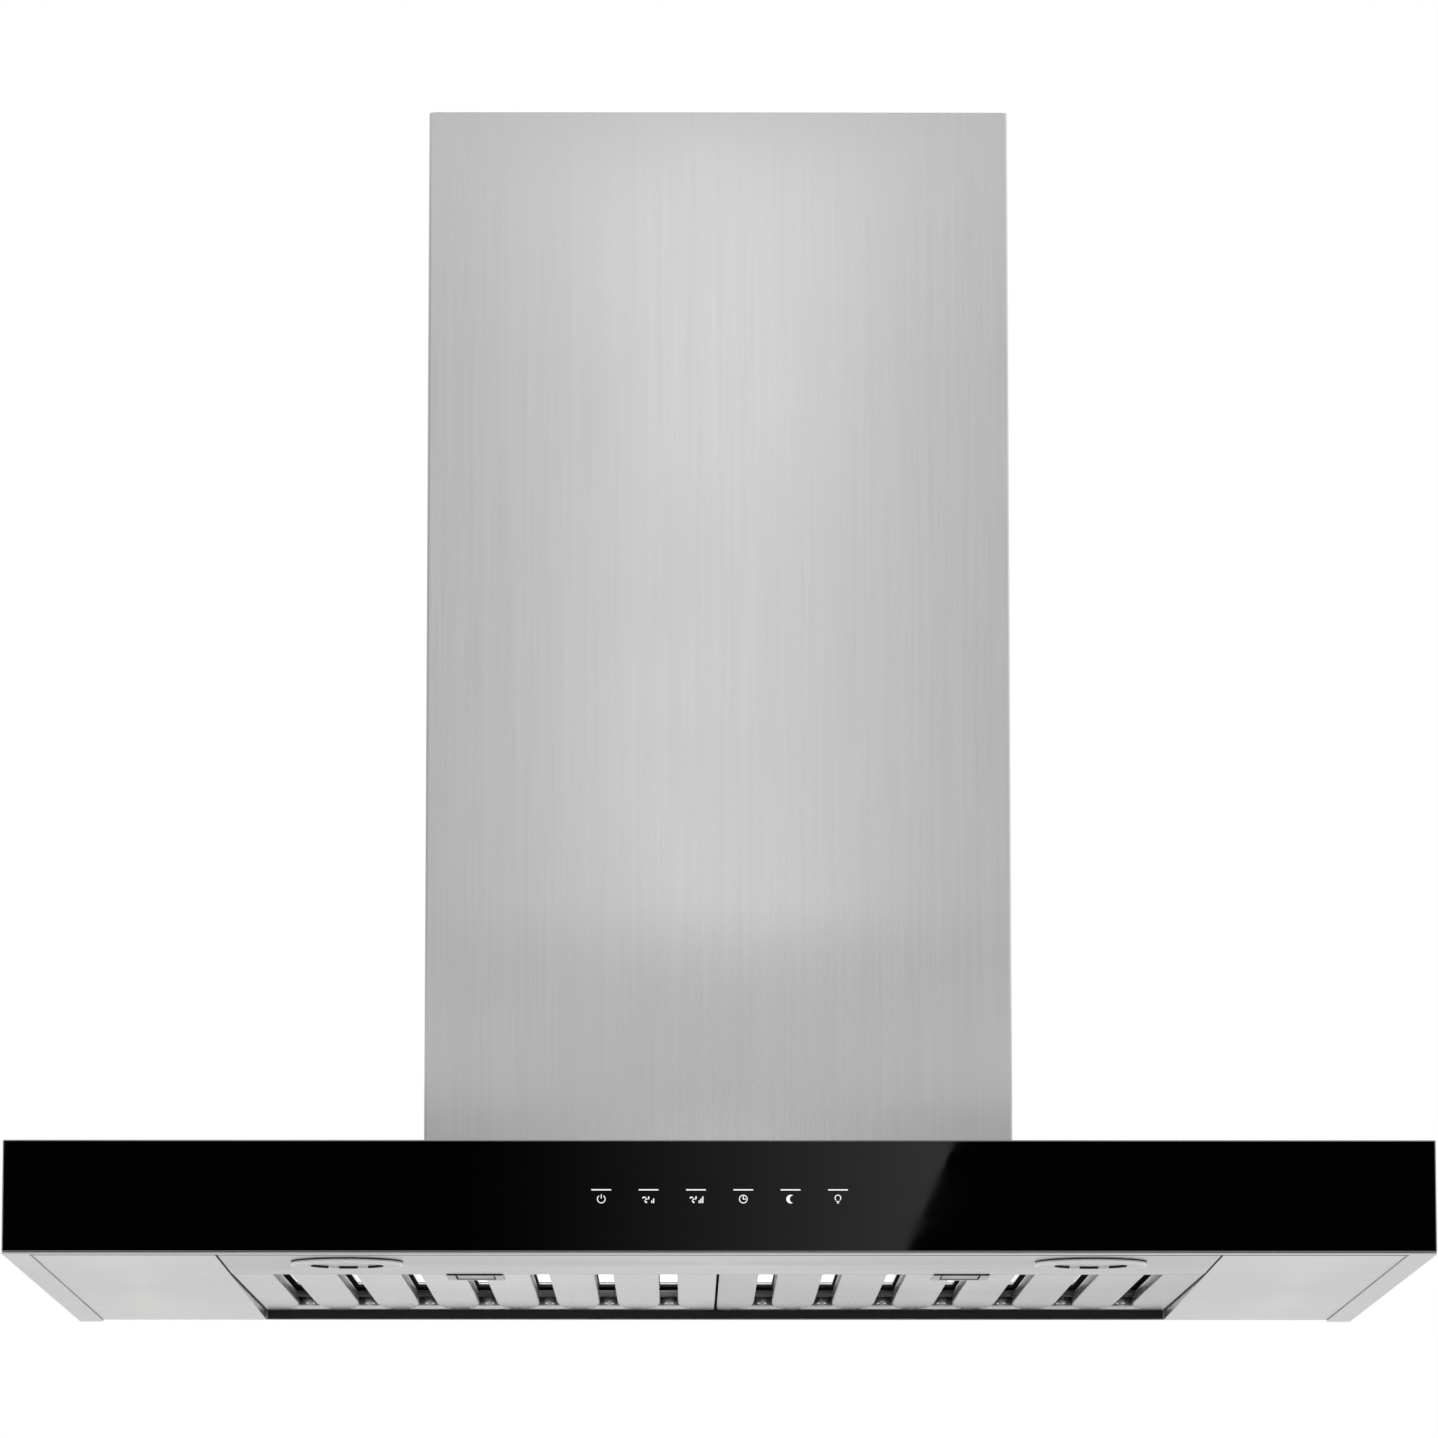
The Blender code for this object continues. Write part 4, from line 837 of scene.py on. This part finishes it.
def latch(name):
    """The plate around the pull, a black strip of painted shade across its front, and the sliding pull
    itself.
    """
    seat = filter_seat(name)
    _, length = filter_size(name)
    front, rear = -length + 1 * MM, -length + LATCH_DEPTH
    body = f"filter_{name}"
    window = LATCH_WINDOW_HALF
    window_rear = rear - 4 * MM
    plate = rounded_outline(LATCH_PLATE_HALF, front, rear, 1 * MM)
    mouth = rounded_outline(window, front + 2.6 * MM, window_rear, 0.8 * MM)
    throat = rounded_outline(window - 0.3 * MM, front + 2.9 * MM, window_rear - 0.3 * MM, 0.6 * MM)
    # The window's lips are black: painted shade around the pull.
    pierced(
        f"latch_plate_{name}", plate, [(mouth, throat)], 2.4 * MM, 0.3 * MM, 3, body,
        (STEEL_LATCH_SHADED, RUBBER), (f"latch_housing_{name}",), seat, -LATCH_PROUD, True,
    )
    # A black strip across the plate's front: painted shade, the dark gap before the latch.
    low = (-LATCH_GAP_SHADE_HALF, front - 0.9 * MM, -LATCH_PROUD - 0.1 * MM)
    high = (LATCH_GAP_SHADE_HALF, front + 1.5 * MM, 0.6 * MM)
    rounded_box(f"latch_gap_shade_{name}", low, high, 0.1 * MM, RUBBER, body, (), seat)
    # A black box behind the window: painted shade.
    low = (-window - 1 * MM, front + 1.4 * MM, 2.6 * MM)
    high = (window + 1 * MM, rear - 1.5 * MM, 4.6 * MM)
    rounded_box(f"latch_room_{name}", low, high, 0.3 * MM, SHADE_BLACK, body, (), seat)
    low = (-LATCH_PULL_HALF, front + 4.0 * MM, -0.15 * MM)
    high = (LATCH_PULL_HALF, window_rear - LATCH_TRAVEL - 0.8 * MM, 2.2 * MM)
    rounded_box(
        f"latch_pull_{name}", low, high, 0.4 * MM, STEEL_SLIDER_SHADED, f"latch_{name}",
        (f"latch_slider_{name}",), seat,
    )


# ---- lamps ---------------------------------------------------------
LAMP_BEAD = 1.2 * MM
LAMP_LEVEL = -2.9 * MM
LAMP_DROP = -3.0 * MM
NECK_WALL = 2.4 * MM
GASKET_TOP = 2.4 * MM
CLIP_TOP = 2.2 * MM
CLIP_MIDDLES = (66, 114, 180, 246, 294, 0)
CLIP_SPREAD = 9
LENS_TOP = 4.5 * MM
LENS_RINGS = 10


def closed_lathe(name, profile, centre, material, replaced=(), angle=50, steps=128):
    """A ring turned from a closed profile."""
    bm = lathe([*profile, profile[0]], centre, steps)
    bmesh.ops.remove_doubles(bm, verts=bm.verts, dist=1e-6)
    return piece(name, as_mesh(bm, name), material, "hood", replaced, angle)


def lamp_clips(name, centre, bore, inner):
    """Six bright clips around the lens."""
    clips = bmesh.new()
    corners = [
        (bore - 0.1 * MM, LAMP_DROP + 0.05 * MM),
        (inner - 0.25 * MM, LAMP_DROP + 0.2 * MM),
        (inner - 0.3 * MM, CLIP_TOP),
        (bore - 0.1 * MM, CLIP_TOP),
    ]
    for middle in CLIP_MIDDLES:
        rows = []
        for r, z in corners:
            points = arc(0, 0, r, middle - CLIP_SPREAD, middle + CLIP_SPREAD, 9)
            rows.append([clips.verts.new((x, y, z)) for x, y in points])
        for k in range(4):
            first, second = rows[k], rows[(k + 1) % 4]
            for i in range(8):
                clips.faces.new((first[i], first[i + 1], second[i + 1], second[i]))
        clips.faces.new([row[0] for row in rows])
        clips.faces.new([row[-1] for row in rows])
    bmesh.ops.translate(clips, vec=centre, verts=clips.verts)
    piece(f"lamp_clips_{name}", as_mesh(clips, "clips"), CHROME, "hood", (), 40)


def lamp_window(name, centre, glass):
    """The recessed frosted lens, with shallow rings pressed into its face."""
    face_z = LAMP_DROP + 1.6 * MM
    profile = [(0.0, LENS_TOP), (glass, LENS_TOP), (glass, face_z + 0.5 * MM), (glass - 0.5 * MM, face_z)]
    for k in range(LENS_RINGS, 0, -1):
        r = glass * 0.93 * k / LENS_RINGS
        sag = face_z - 0.35 * MM * (1 - (r / glass) ** 2)
        profile += [(r, sag + 0.10 * MM), (r - glass * 0.045, sag)]
    profile += [(0.0, face_z - 0.36 * MM)]
    mesh = as_mesh(lathe(profile, centre), "lens")
    piece(f"lamp_window_{name}", mesh, LENS, "hood", (f"lamp_lens_{name}",), 50)


def lamps():
    """A chromed bead around a satin flange, and a recessed frosted lens behind six bright clips."""
    for name in SIDES:
        low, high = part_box(f"lamp_bezel_{name}")
        centre = Vector(((low.x + high.x) / 2, (low.y + high.y) / 2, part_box("light_panel")[0].z))
        radius = (high.x - low.x) / 2
        lens_low, lens_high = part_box(f"lamp_lens_{name}")
        bore = (lens_high.x - lens_low.x) / 2 + 0.9 * MM
        inner = bore - 0.7 * MM
        neck_top = high.z - centre.z
        bead = [
            (radius - LAMP_BEAD + x, LAMP_LEVEL * 0.6 + y * 1.1)
            for x, y in arc(0, 0, LAMP_BEAD, 0, 345, 24)
        ]
        closed_lathe(
            f"lamp_ring_{name}", bead, centre, CHROME, (f"lamp_bezel_{name}",), 80, 160,
        )
        face = [(radius - 1.1 * MM, LAMP_LEVEL), (bore + 0.4 * MM, LAMP_DROP), (bore, LAMP_DROP + 0.2 * MM)]
        neck = [(bore, neck_top), (bore + NECK_WALL, neck_top), (bore + NECK_WALL, -0.2 * MM)]
        flange = [*face, *neck, (radius - 1.1 * MM, -0.2 * MM)]
        closed_lathe(f"lamp_flange_{name}", flange, centre, STEEL_LAMP)
        # A black ring under the bead: painted shade, the dark line where the bezel meets the panel.
        shadow_outer, shadow_inner = radius - 0.35 * MM, radius - 1.5 * MM
        shadow_foot = -0.75 * MM
        ring = [(shadow_outer, 0.0), (shadow_outer, shadow_foot), (shadow_inner, shadow_foot), (shadow_inner, 0.0)]
        closed_lathe(f"lamp_shadow_ring_{name}", ring, centre, RUBBER)
        gasket = [
            (bore - 0.05 * MM, LAMP_DROP + 0.2 * MM),
            (inner, LAMP_DROP + 0.4 * MM),
            (inner, GASKET_TOP),
            (bore - 0.05 * MM, GASKET_TOP),
        ]
        closed_lathe(f"lamp_gasket_{name}", gasket, centre, RUBBER)
        lamp_clips(name, centre, bore, inner)
        lamp_window(name, centre, inner - 0.1 * MM)


# ---- touch keys ----------------------------------------------------
KEY_PITCH = 29.7 * MM
MARK_DEPTH = 0.12 * MM
KEY_LINE_DOWN = 31.4 * MM
ICON_DOWN = 37.2 * MM
ICON_RADIUS = 2.7 * MM
ICON_LINE = 0.55 * MM
FAN_RADIUS = 2.5 * MM


class Marks:
    """Flat printed shapes on the glass's face, each point given as (x, z) about the mark's middle."""

    def __init__(self, centre_x, centre_z):
        self.bm = bmesh.new()
        self.centre = (centre_x, centre_z)

    def fill(self, points):
        """One flat shape, standing just proud of the glass."""
        face_y = GLASS_LOW.y
        cx, cz = self.centre
        back = [self.bm.verts.new((cx + x, face_y - 0.01 * MM, cz + z)) for x, z in points]
        front = [self.bm.verts.new((cx + x, face_y - MARK_DEPTH, cz + z)) for x, z in points]
        self.bm.faces.new(front)
        self.bm.faces.new(reversed(back))
        bridged(self.bm, back, front)

    def bar(self, x, z, width, height):
        """An upright rectangle about (x, z)."""
        w, h = width / 2, height / 2
        self.fill([(x - w, z - h), (x + w, z - h), (x + w, z + h), (x - w, z + h)])

    def sweep(self, x, z, radius, thick, start, end, count=20):
        """A stretch of ring."""
        outer = arc(x, z, radius, start, end, count)
        inner = arc(x, z, radius - thick, start, end, count)
        for i in range(count - 1):
            self.fill([outer[i], outer[i + 1], inner[i + 1], inner[i]])

    def fan(self, x, z, radius):
        """A three-bladed fan."""
        self.fill(arc(x, z, radius * 0.2, 0, 330, 12))
        out = [(t / 8, 0.0) for t in range(9)]
        back = [(share, 46 * math.sin(math.pi * share * 0.92)) for share, _ in reversed(out)]
        for k in range(3):
            turn = 120 * k + 90
            blade = [
                (radius * (0.28 + 0.72 * share), turn + 62 * share**1.3 + wide)
                for share, wide in [*out, *back]
            ]
            points = [
                (x + r * math.cos(math.radians(a)), z + r * math.sin(math.radians(a)))
                for r, a in dict.fromkeys(blade)
            ]
            self.fill(points)


def touch_keys():
    """Six keys, each a short line over a pictogram: on, two fan speeds, timer, quiet and light."""
    middle = (GLASS_LOW.x + GLASS_HIGH.x) / 2
    line = ICON_LINE

    def key_on(m):
        m.sweep(0, 0, ICON_RADIUS, line, 125, 415, 26)
        m.bar(0, 1.6 * MM, line, 2.6 * MM)

    def key_speed(bars):
        def draw(m):
            m.fan(-1.6 * MM, 0, FAN_RADIUS)
            for i in range(bars):
                tall = (1.6 + 1.3 * i) * MM
                m.bar((2.0 + 1.15 * i) * MM, -2.5 * MM + tall / 2, 0.7 * MM, tall)
        return draw

    def key_timer(m):
        m.sweep(0, 0, ICON_RADIUS, line, 0, 360, 30)
        m.bar(0, 0.9 * MM, line, 1.8 * MM)
        m.bar(0.75 * MM, 0, 1.9 * MM, line)

    def key_quiet(m):
        outer = arc(0, 0, ICON_RADIUS, 60, 300, 22)
        inner = arc(1.75 * MM, 0, 2.35 * MM, 85, 275, 22)
        for i in range(21):
            m.fill([outer[i], outer[i + 1], inner[i + 1], inner[i]])

    def key_light(m):
        m.sweep(0, 0.7 * MM, 2.1 * MM, line, -50, 230, 24)
        m.bar(0, -1.5 * MM, 1.9 * MM, line)
        m.bar(0, -2.4 * MM, 1.3 * MM, line)

    drawings = [key_on, key_speed(2), key_speed(3), key_timer, key_quiet, key_light]
    for i, draw in enumerate(drawings):
        x = middle + (i - (len(drawings) - 1) / 2) * KEY_PITCH
        marks = Marks(x, GLASS_HIGH.z - ICON_DOWN)
        draw(marks)
        marks.bar(0, ICON_DOWN - KEY_LINE_DOWN, 12.4 * MM, 0.75 * MM)
        name = f"key_mark_{i + 1}"
        piece(name, as_mesh(marks.bm, name), PRINT, "hood")


# ---- canopy --------------------------------------------------------
SEAM_X = 317.3 * MM
BAY_SHADE_REAR = -130 * MM
FLANGE_TRIM = 15 * MM


def black_strip(name, x_ends, y_ends, z_ends, seat=None):
    """A thin black strip."""
    low, high = zip(x_ends, y_ends, z_ends)
    rounded_box(name, low, high, 0.2 * MM, RUBBER, "hood", (), seat)


def canopy():
    """The folded shell, the glass and the underside's panels, with the folds of bent sheet."""
    panel_low, panel_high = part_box("side_panel_left")
    bottom, rear = panel_low.z, SHELL_HIGH.y
    inner_x = SHELL_HIGH.x - 16.5 * MM
    trimmed = without_box(
        whole_faces("canopy_shell", "canopy_case"),
        (-inner_x, rear - FLANGE_TRIM, bottom - 5 * MM),
        (inner_x, rear + 2 * MM, bottom),
    )
    refined("canopy_shell", "canopy_case", STEEL_ALONG, 0.45 * MM, 3, mesh=trimmed)
    finish = (BLACK_GLASS, STEEL_GROUND)
    glass = refined("front_glass", "glass_front", finish, 0.45 * MM, 1)
    glass.modifiers["folds"].material = 1
    for name, side in SIDES.items():
        refined(f"side_panel_{name}", f"under_panel_{name}", STEEL_ALONG, 0.25 * MM, 3)
        # A black strip deep in the seam between the panels: painted shade, the dark of the gap.
        seam = side * SEAM_X - 0.5 * MM
        y_ends = (panel_low.y + 1 * MM, BAY_SHADE_REAR)
        black_strip(f"bay_seam_shade_{name}", (seam, seam + 1.0 * MM), y_ends, (bottom + 0.4 * MM, bottom + 9 * MM))
        half, length = filter_size(name)
        x_ends = sorted((side * (half + 0.35 * MM), side * (half + 1.35 * MM)))
        y_ends = (-length, -12 * MM)
        black_strip(f"filter_seal_{name}", x_ends, y_ends, (0.4 * MM, 3.4 * MM), filter_seat(name))
        # Both start at the right-hand seam, so the left one also runs across the light panel.
        x_ends = sorted((-panel_high.x - 0.6 * MM, side * inner_x))
        y_ends = (SHELL_LOW.y + 6.9 * MM, SHELL_LOW.y + 13 * MM)
        black_strip(f"front_seal_{name}", x_ends, y_ends, (bottom - 1.25 * MM, bottom + 0.2 * MM))
    refined("light_panel", "lamp_panel", STEEL_LAMP, 0.25 * MM, 3, 50)
    refined("rear_trim", "rear_rail", BLACK_PAINT, 0.4 * MM, 3)
    refined("ceiling_plate", "ceiling_mount", ZINC, 0.4 * MM, 2, 50)
    refined("top_frame", "canopy_ring", ZINC, 0.4 * MM, 2)


def inner_parts():
    """Finishes for the nodes inside, whose CAD shapes stay."""
    finishes = {
        ZINC: (
            "lower_post", "upper_post", "blower_", "motor_bracket", "outlet_collar", "lamp_can",
            "control_box",
        ),
        BLACK_PLASTIC: ("capacitor", "terminal_box"),
        BOARD: ("touch_board",),
        SLEEVE: ("lamp_lead", "touch_lead", "motor_lead"),
        CHROME: ("motor_shaft", "damper_rod"),
        DAMPER_METAL: ("damper_flap",),
        SPRING_METAL: ("latch_spring",),
    }
    for material, starts in finishes.items():
        for node in NODES:
            if node.startswith(starts):
                finish_node(node, material)
    for node in ("motor", "impeller"):
        finish_node(node, MOTOR_METAL)


# ---- stage ---------------------------------------------------------
CAMERA_AT = Vector((-0.02335, -5.23395, SHELL_HIGH.z - 0.43427))
CAMERA_YAW = 0.268
CAMERA_PITCH = 8.127
CAMERA_LENS = 196.16
FLOOR_Z = -1.7
FLOOR_HALF = 60
WORLD_FRONT = 0.68
WORLD_LEFT = 0.62
WORLD_RIGHT = 1.2
CARD_Y = -5.6
LIT_START = -0.169
LIT_END = 0.132
LIT_SLANT = (0.1166, 0.148)
LIT_POWER = 1.7
LIT_STRENGTH = 0.72
GLOW_Y = -1.1
GLOW_HALF = 0.21
GLOW_LOW = -0.63
GLOW_HIGH = 1.1
GLOW_FOOT = 0.16
GLOW_HEAD = 0.5
GLOW_STRENGTH = 0.95


def camera():
    """The camera, a little below the canopy and looking slightly up, at the photograph's angle."""
    made = placed("camera", bpy.data.cameras.new("camera"))
    made.location = CAMERA_AT
    made.rotation_euler = (math.radians(90 + CAMERA_PITCH), 0, math.radians(-CAMERA_YAW))
    made.data.lens = CAMERA_LENS
    made.data.sensor_width = 36
    made.data.clip_end = 200
    bpy.context.scene.camera = made


def stage_material(name, colour, strength):
    """Light of one colour, for a card that only shows in reflections."""
    made = bpy.data.materials.new(name)
    made.use_nodes = True
    tree = made.node_tree
    tree.nodes.clear()
    glow = tree.nodes.new("ShaderNodeEmission")
    glow.inputs["Color"].default_value = (*colour, 1)
    glow.inputs["Strength"].default_value = strength
    out = tree.nodes.new("ShaderNodeOutputMaterial")
    tree.links.new(glow.outputs["Emission"], out.inputs["Surface"])
    return made, tree, glow


def card(name, points, material, seen=False):
    """A flat card through the points, part of the stage; one that isn't seen only shows in reflections."""
    mesh = bpy.data.meshes.new(name)
    mesh.from_pydata(points, [], [list(range(len(points)))])
    made = placed(name, mesh)
    mesh.materials.append(material)
    made.visible_camera = made.visible_shadow = seen
    return made


def axes(tree, kind):
    """The three axes of a kind of texture coordinate."""
    where = tree.nodes.new("ShaderNodeTexCoord")
    split = tree.nodes.new("ShaderNodeSeparateXYZ")
    tree.links.new(where.outputs[kind], split.inputs["Vector"])
    return split.outputs


def mirrored(x, z, depth):
    """Where, at that depth, the camera sees a spot of the stage in the glass's point (x, z)."""
    share = 1 + (GLASS_LOW.y - depth) / (GLASS_LOW.y - CAMERA_AT.y)
    return (CAMERA_AT.x + (x - CAMERA_AT.x) * share, depth, CAMERA_AT.z + (z - CAMERA_AT.z) * share)


def floor():
    """A plain pale floor."""
    made, _, _ = new_material("floor", Base_Color=(0.86, 0.86, 0.85, 1), Roughness=0.75)
    corners = ((-1, -1), (1, -1), (1, 1), (-1, 1))
    ground = card("floor", [(x * FLOOR_HALF, y * FLOOR_HALF, 0) for x, y in corners], made, True)
    ground.location.z = FLOOR_Z


def world():
    """White to the camera; as a light, dimmer before the hood and to its left, brighter to its right."""
    made = bpy.data.worlds.new("studio")
    bpy.context.scene.world = made
    made.use_nodes = True
    tree = made.node_tree
    tree.nodes.clear()
    at = axes(tree, "Generated")
    front = ranged(tree, at["Y"], -0.7, 0.2, WORLD_FRONT, 1.0)
    left = ranged(tree, at["X"], -1.0, -0.4, WORLD_LEFT, 1.0)
    right = ranged(tree, at["X"], 0.4, 1.0, 1.0, WORLD_RIGHT)
    depth = added(tree, front, added(tree, left, right, "MULTIPLY"), "MULTIPLY")
    lights = tree.nodes.new("ShaderNodeLightPath")
    seen = tree.nodes.new("ShaderNodeMix")
    seen.data_type = "FLOAT"
    tree.links.new(lights.outputs["Is Camera Ray"], seen.inputs["Factor"])
    tree.links.new(depth, seen.inputs["A"])
    seen.inputs["B"].default_value = 1.0
    glow = tree.nodes.new("ShaderNodeBackground")
    glow.inputs["Color"].default_value = (1, 1, 1, 1)
    tree.links.new(seen.outputs["Result"], glow.inputs["Strength"])
    out = tree.nodes.new("ShaderNodeOutputWorld")
    tree.links.new(glow.outputs["Background"], out.inputs["Surface"])


def reflections():
    """What the glass mirrors: a dark card, and on it a lit one that fades to the left and ends on a slant."""
    dark, _, _ = stage_material("card_dark", (0.0, 0.0, 0.0), 0.0)
    low, high = GLASS_LOW.z, GLASS_HIGH.z
    wide = GLASS_HIGH.x * 1.12
    over = 30 * MM
    corners = [(-wide, low - over), (wide, low - over), (wide, high + over), (-wide, high + over)]
    card("card_dark", [mirrored(x, z, CARD_Y) for x, z in corners], dark)
    lit, tree, glow = stage_material("card_lit", (1.0, 1.0, 1.0), 1.0)
    at = axes(tree, "Object")
    near = CARD_Y + 0.01
    left, right = mirrored(LIT_START, low, near)[0], mirrored(LIT_END, low, near)[0]
    rise = added(tree, ranged(tree, at["X"], left, right, 0.0, 1.0), LIT_POWER, "POWER")
    tree.links.new(added(tree, rise, LIT_STRENGTH, "MULTIPLY"), glow.inputs["Strength"])
    foot, head = LIT_SLANT
    lean = (head - foot) / (high - low)
    corners = [
        (LIT_START, low - over),
        (foot - lean * over, low - over),
        (head + lean * over, high + over),
        (LIT_START, high + over),
    ]
    card("card_lit", [mirrored(x, z, near) for x, z in corners], lit)


def chimney_glow():
    """A tall soft light before the chimney, brightest along its middle and fading to its ends."""
    lit, tree, glow = stage_material("light_front", (1.0, 1.0, 1.0), 1.0)
    at = axes(tree, "Object")
    across = ranged(tree, added(tree, at["X"], 0.0, "ABSOLUTE"), 0.0, GLOW_HALF, 1.0, 0.0)
    foot = ranged(tree, at["Z"], GLOW_LOW, GLOW_LOW + GLOW_FOOT, 0.0, 1.0)
    head = ranged(tree, at["Z"], GLOW_HIGH - GLOW_HEAD, GLOW_HIGH, 1.0, 0.0)
    ends = added(tree, foot, head, "MULTIPLY")
    strength = added(tree, added(tree, across, ends, "MULTIPLY"), GLOW_STRENGTH, "MULTIPLY")
    tree.links.new(strength, glow.inputs["Strength"])
    clear = tree.nodes.new("ShaderNodeBsdfTransparent")
    both = tree.nodes.new("ShaderNodeAddShader")
    tree.links.new(clear.outputs["BSDF"], both.inputs[0])
    tree.links.new(glow.outputs["Emission"], both.inputs[1])
    tree.links.new(both.outputs["Shader"], tree.nodes["Material Output"].inputs["Surface"])
    corners = [(-GLOW_HALF, GLOW_LOW), (GLOW_HALF, GLOW_LOW), (GLOW_HALF, GLOW_HIGH), (-GLOW_HALF, GLOW_HIGH)]
    card("light_front", [(x, GLOW_Y, z) for x, z in corners], lit)


def stage():
    """Floor, world, lights, cards and camera."""
    floor()
    world()
    reflections()
    chimney_glow()
    camera()
    bpy.context.scene.view_settings.view_transform = "Standard"


chimney()
canopy()
for side_name in SIDES:
    filter_sheets(side_name)
    latch(side_name)
lamps()
touch_keys()
inner_parts()
stage()
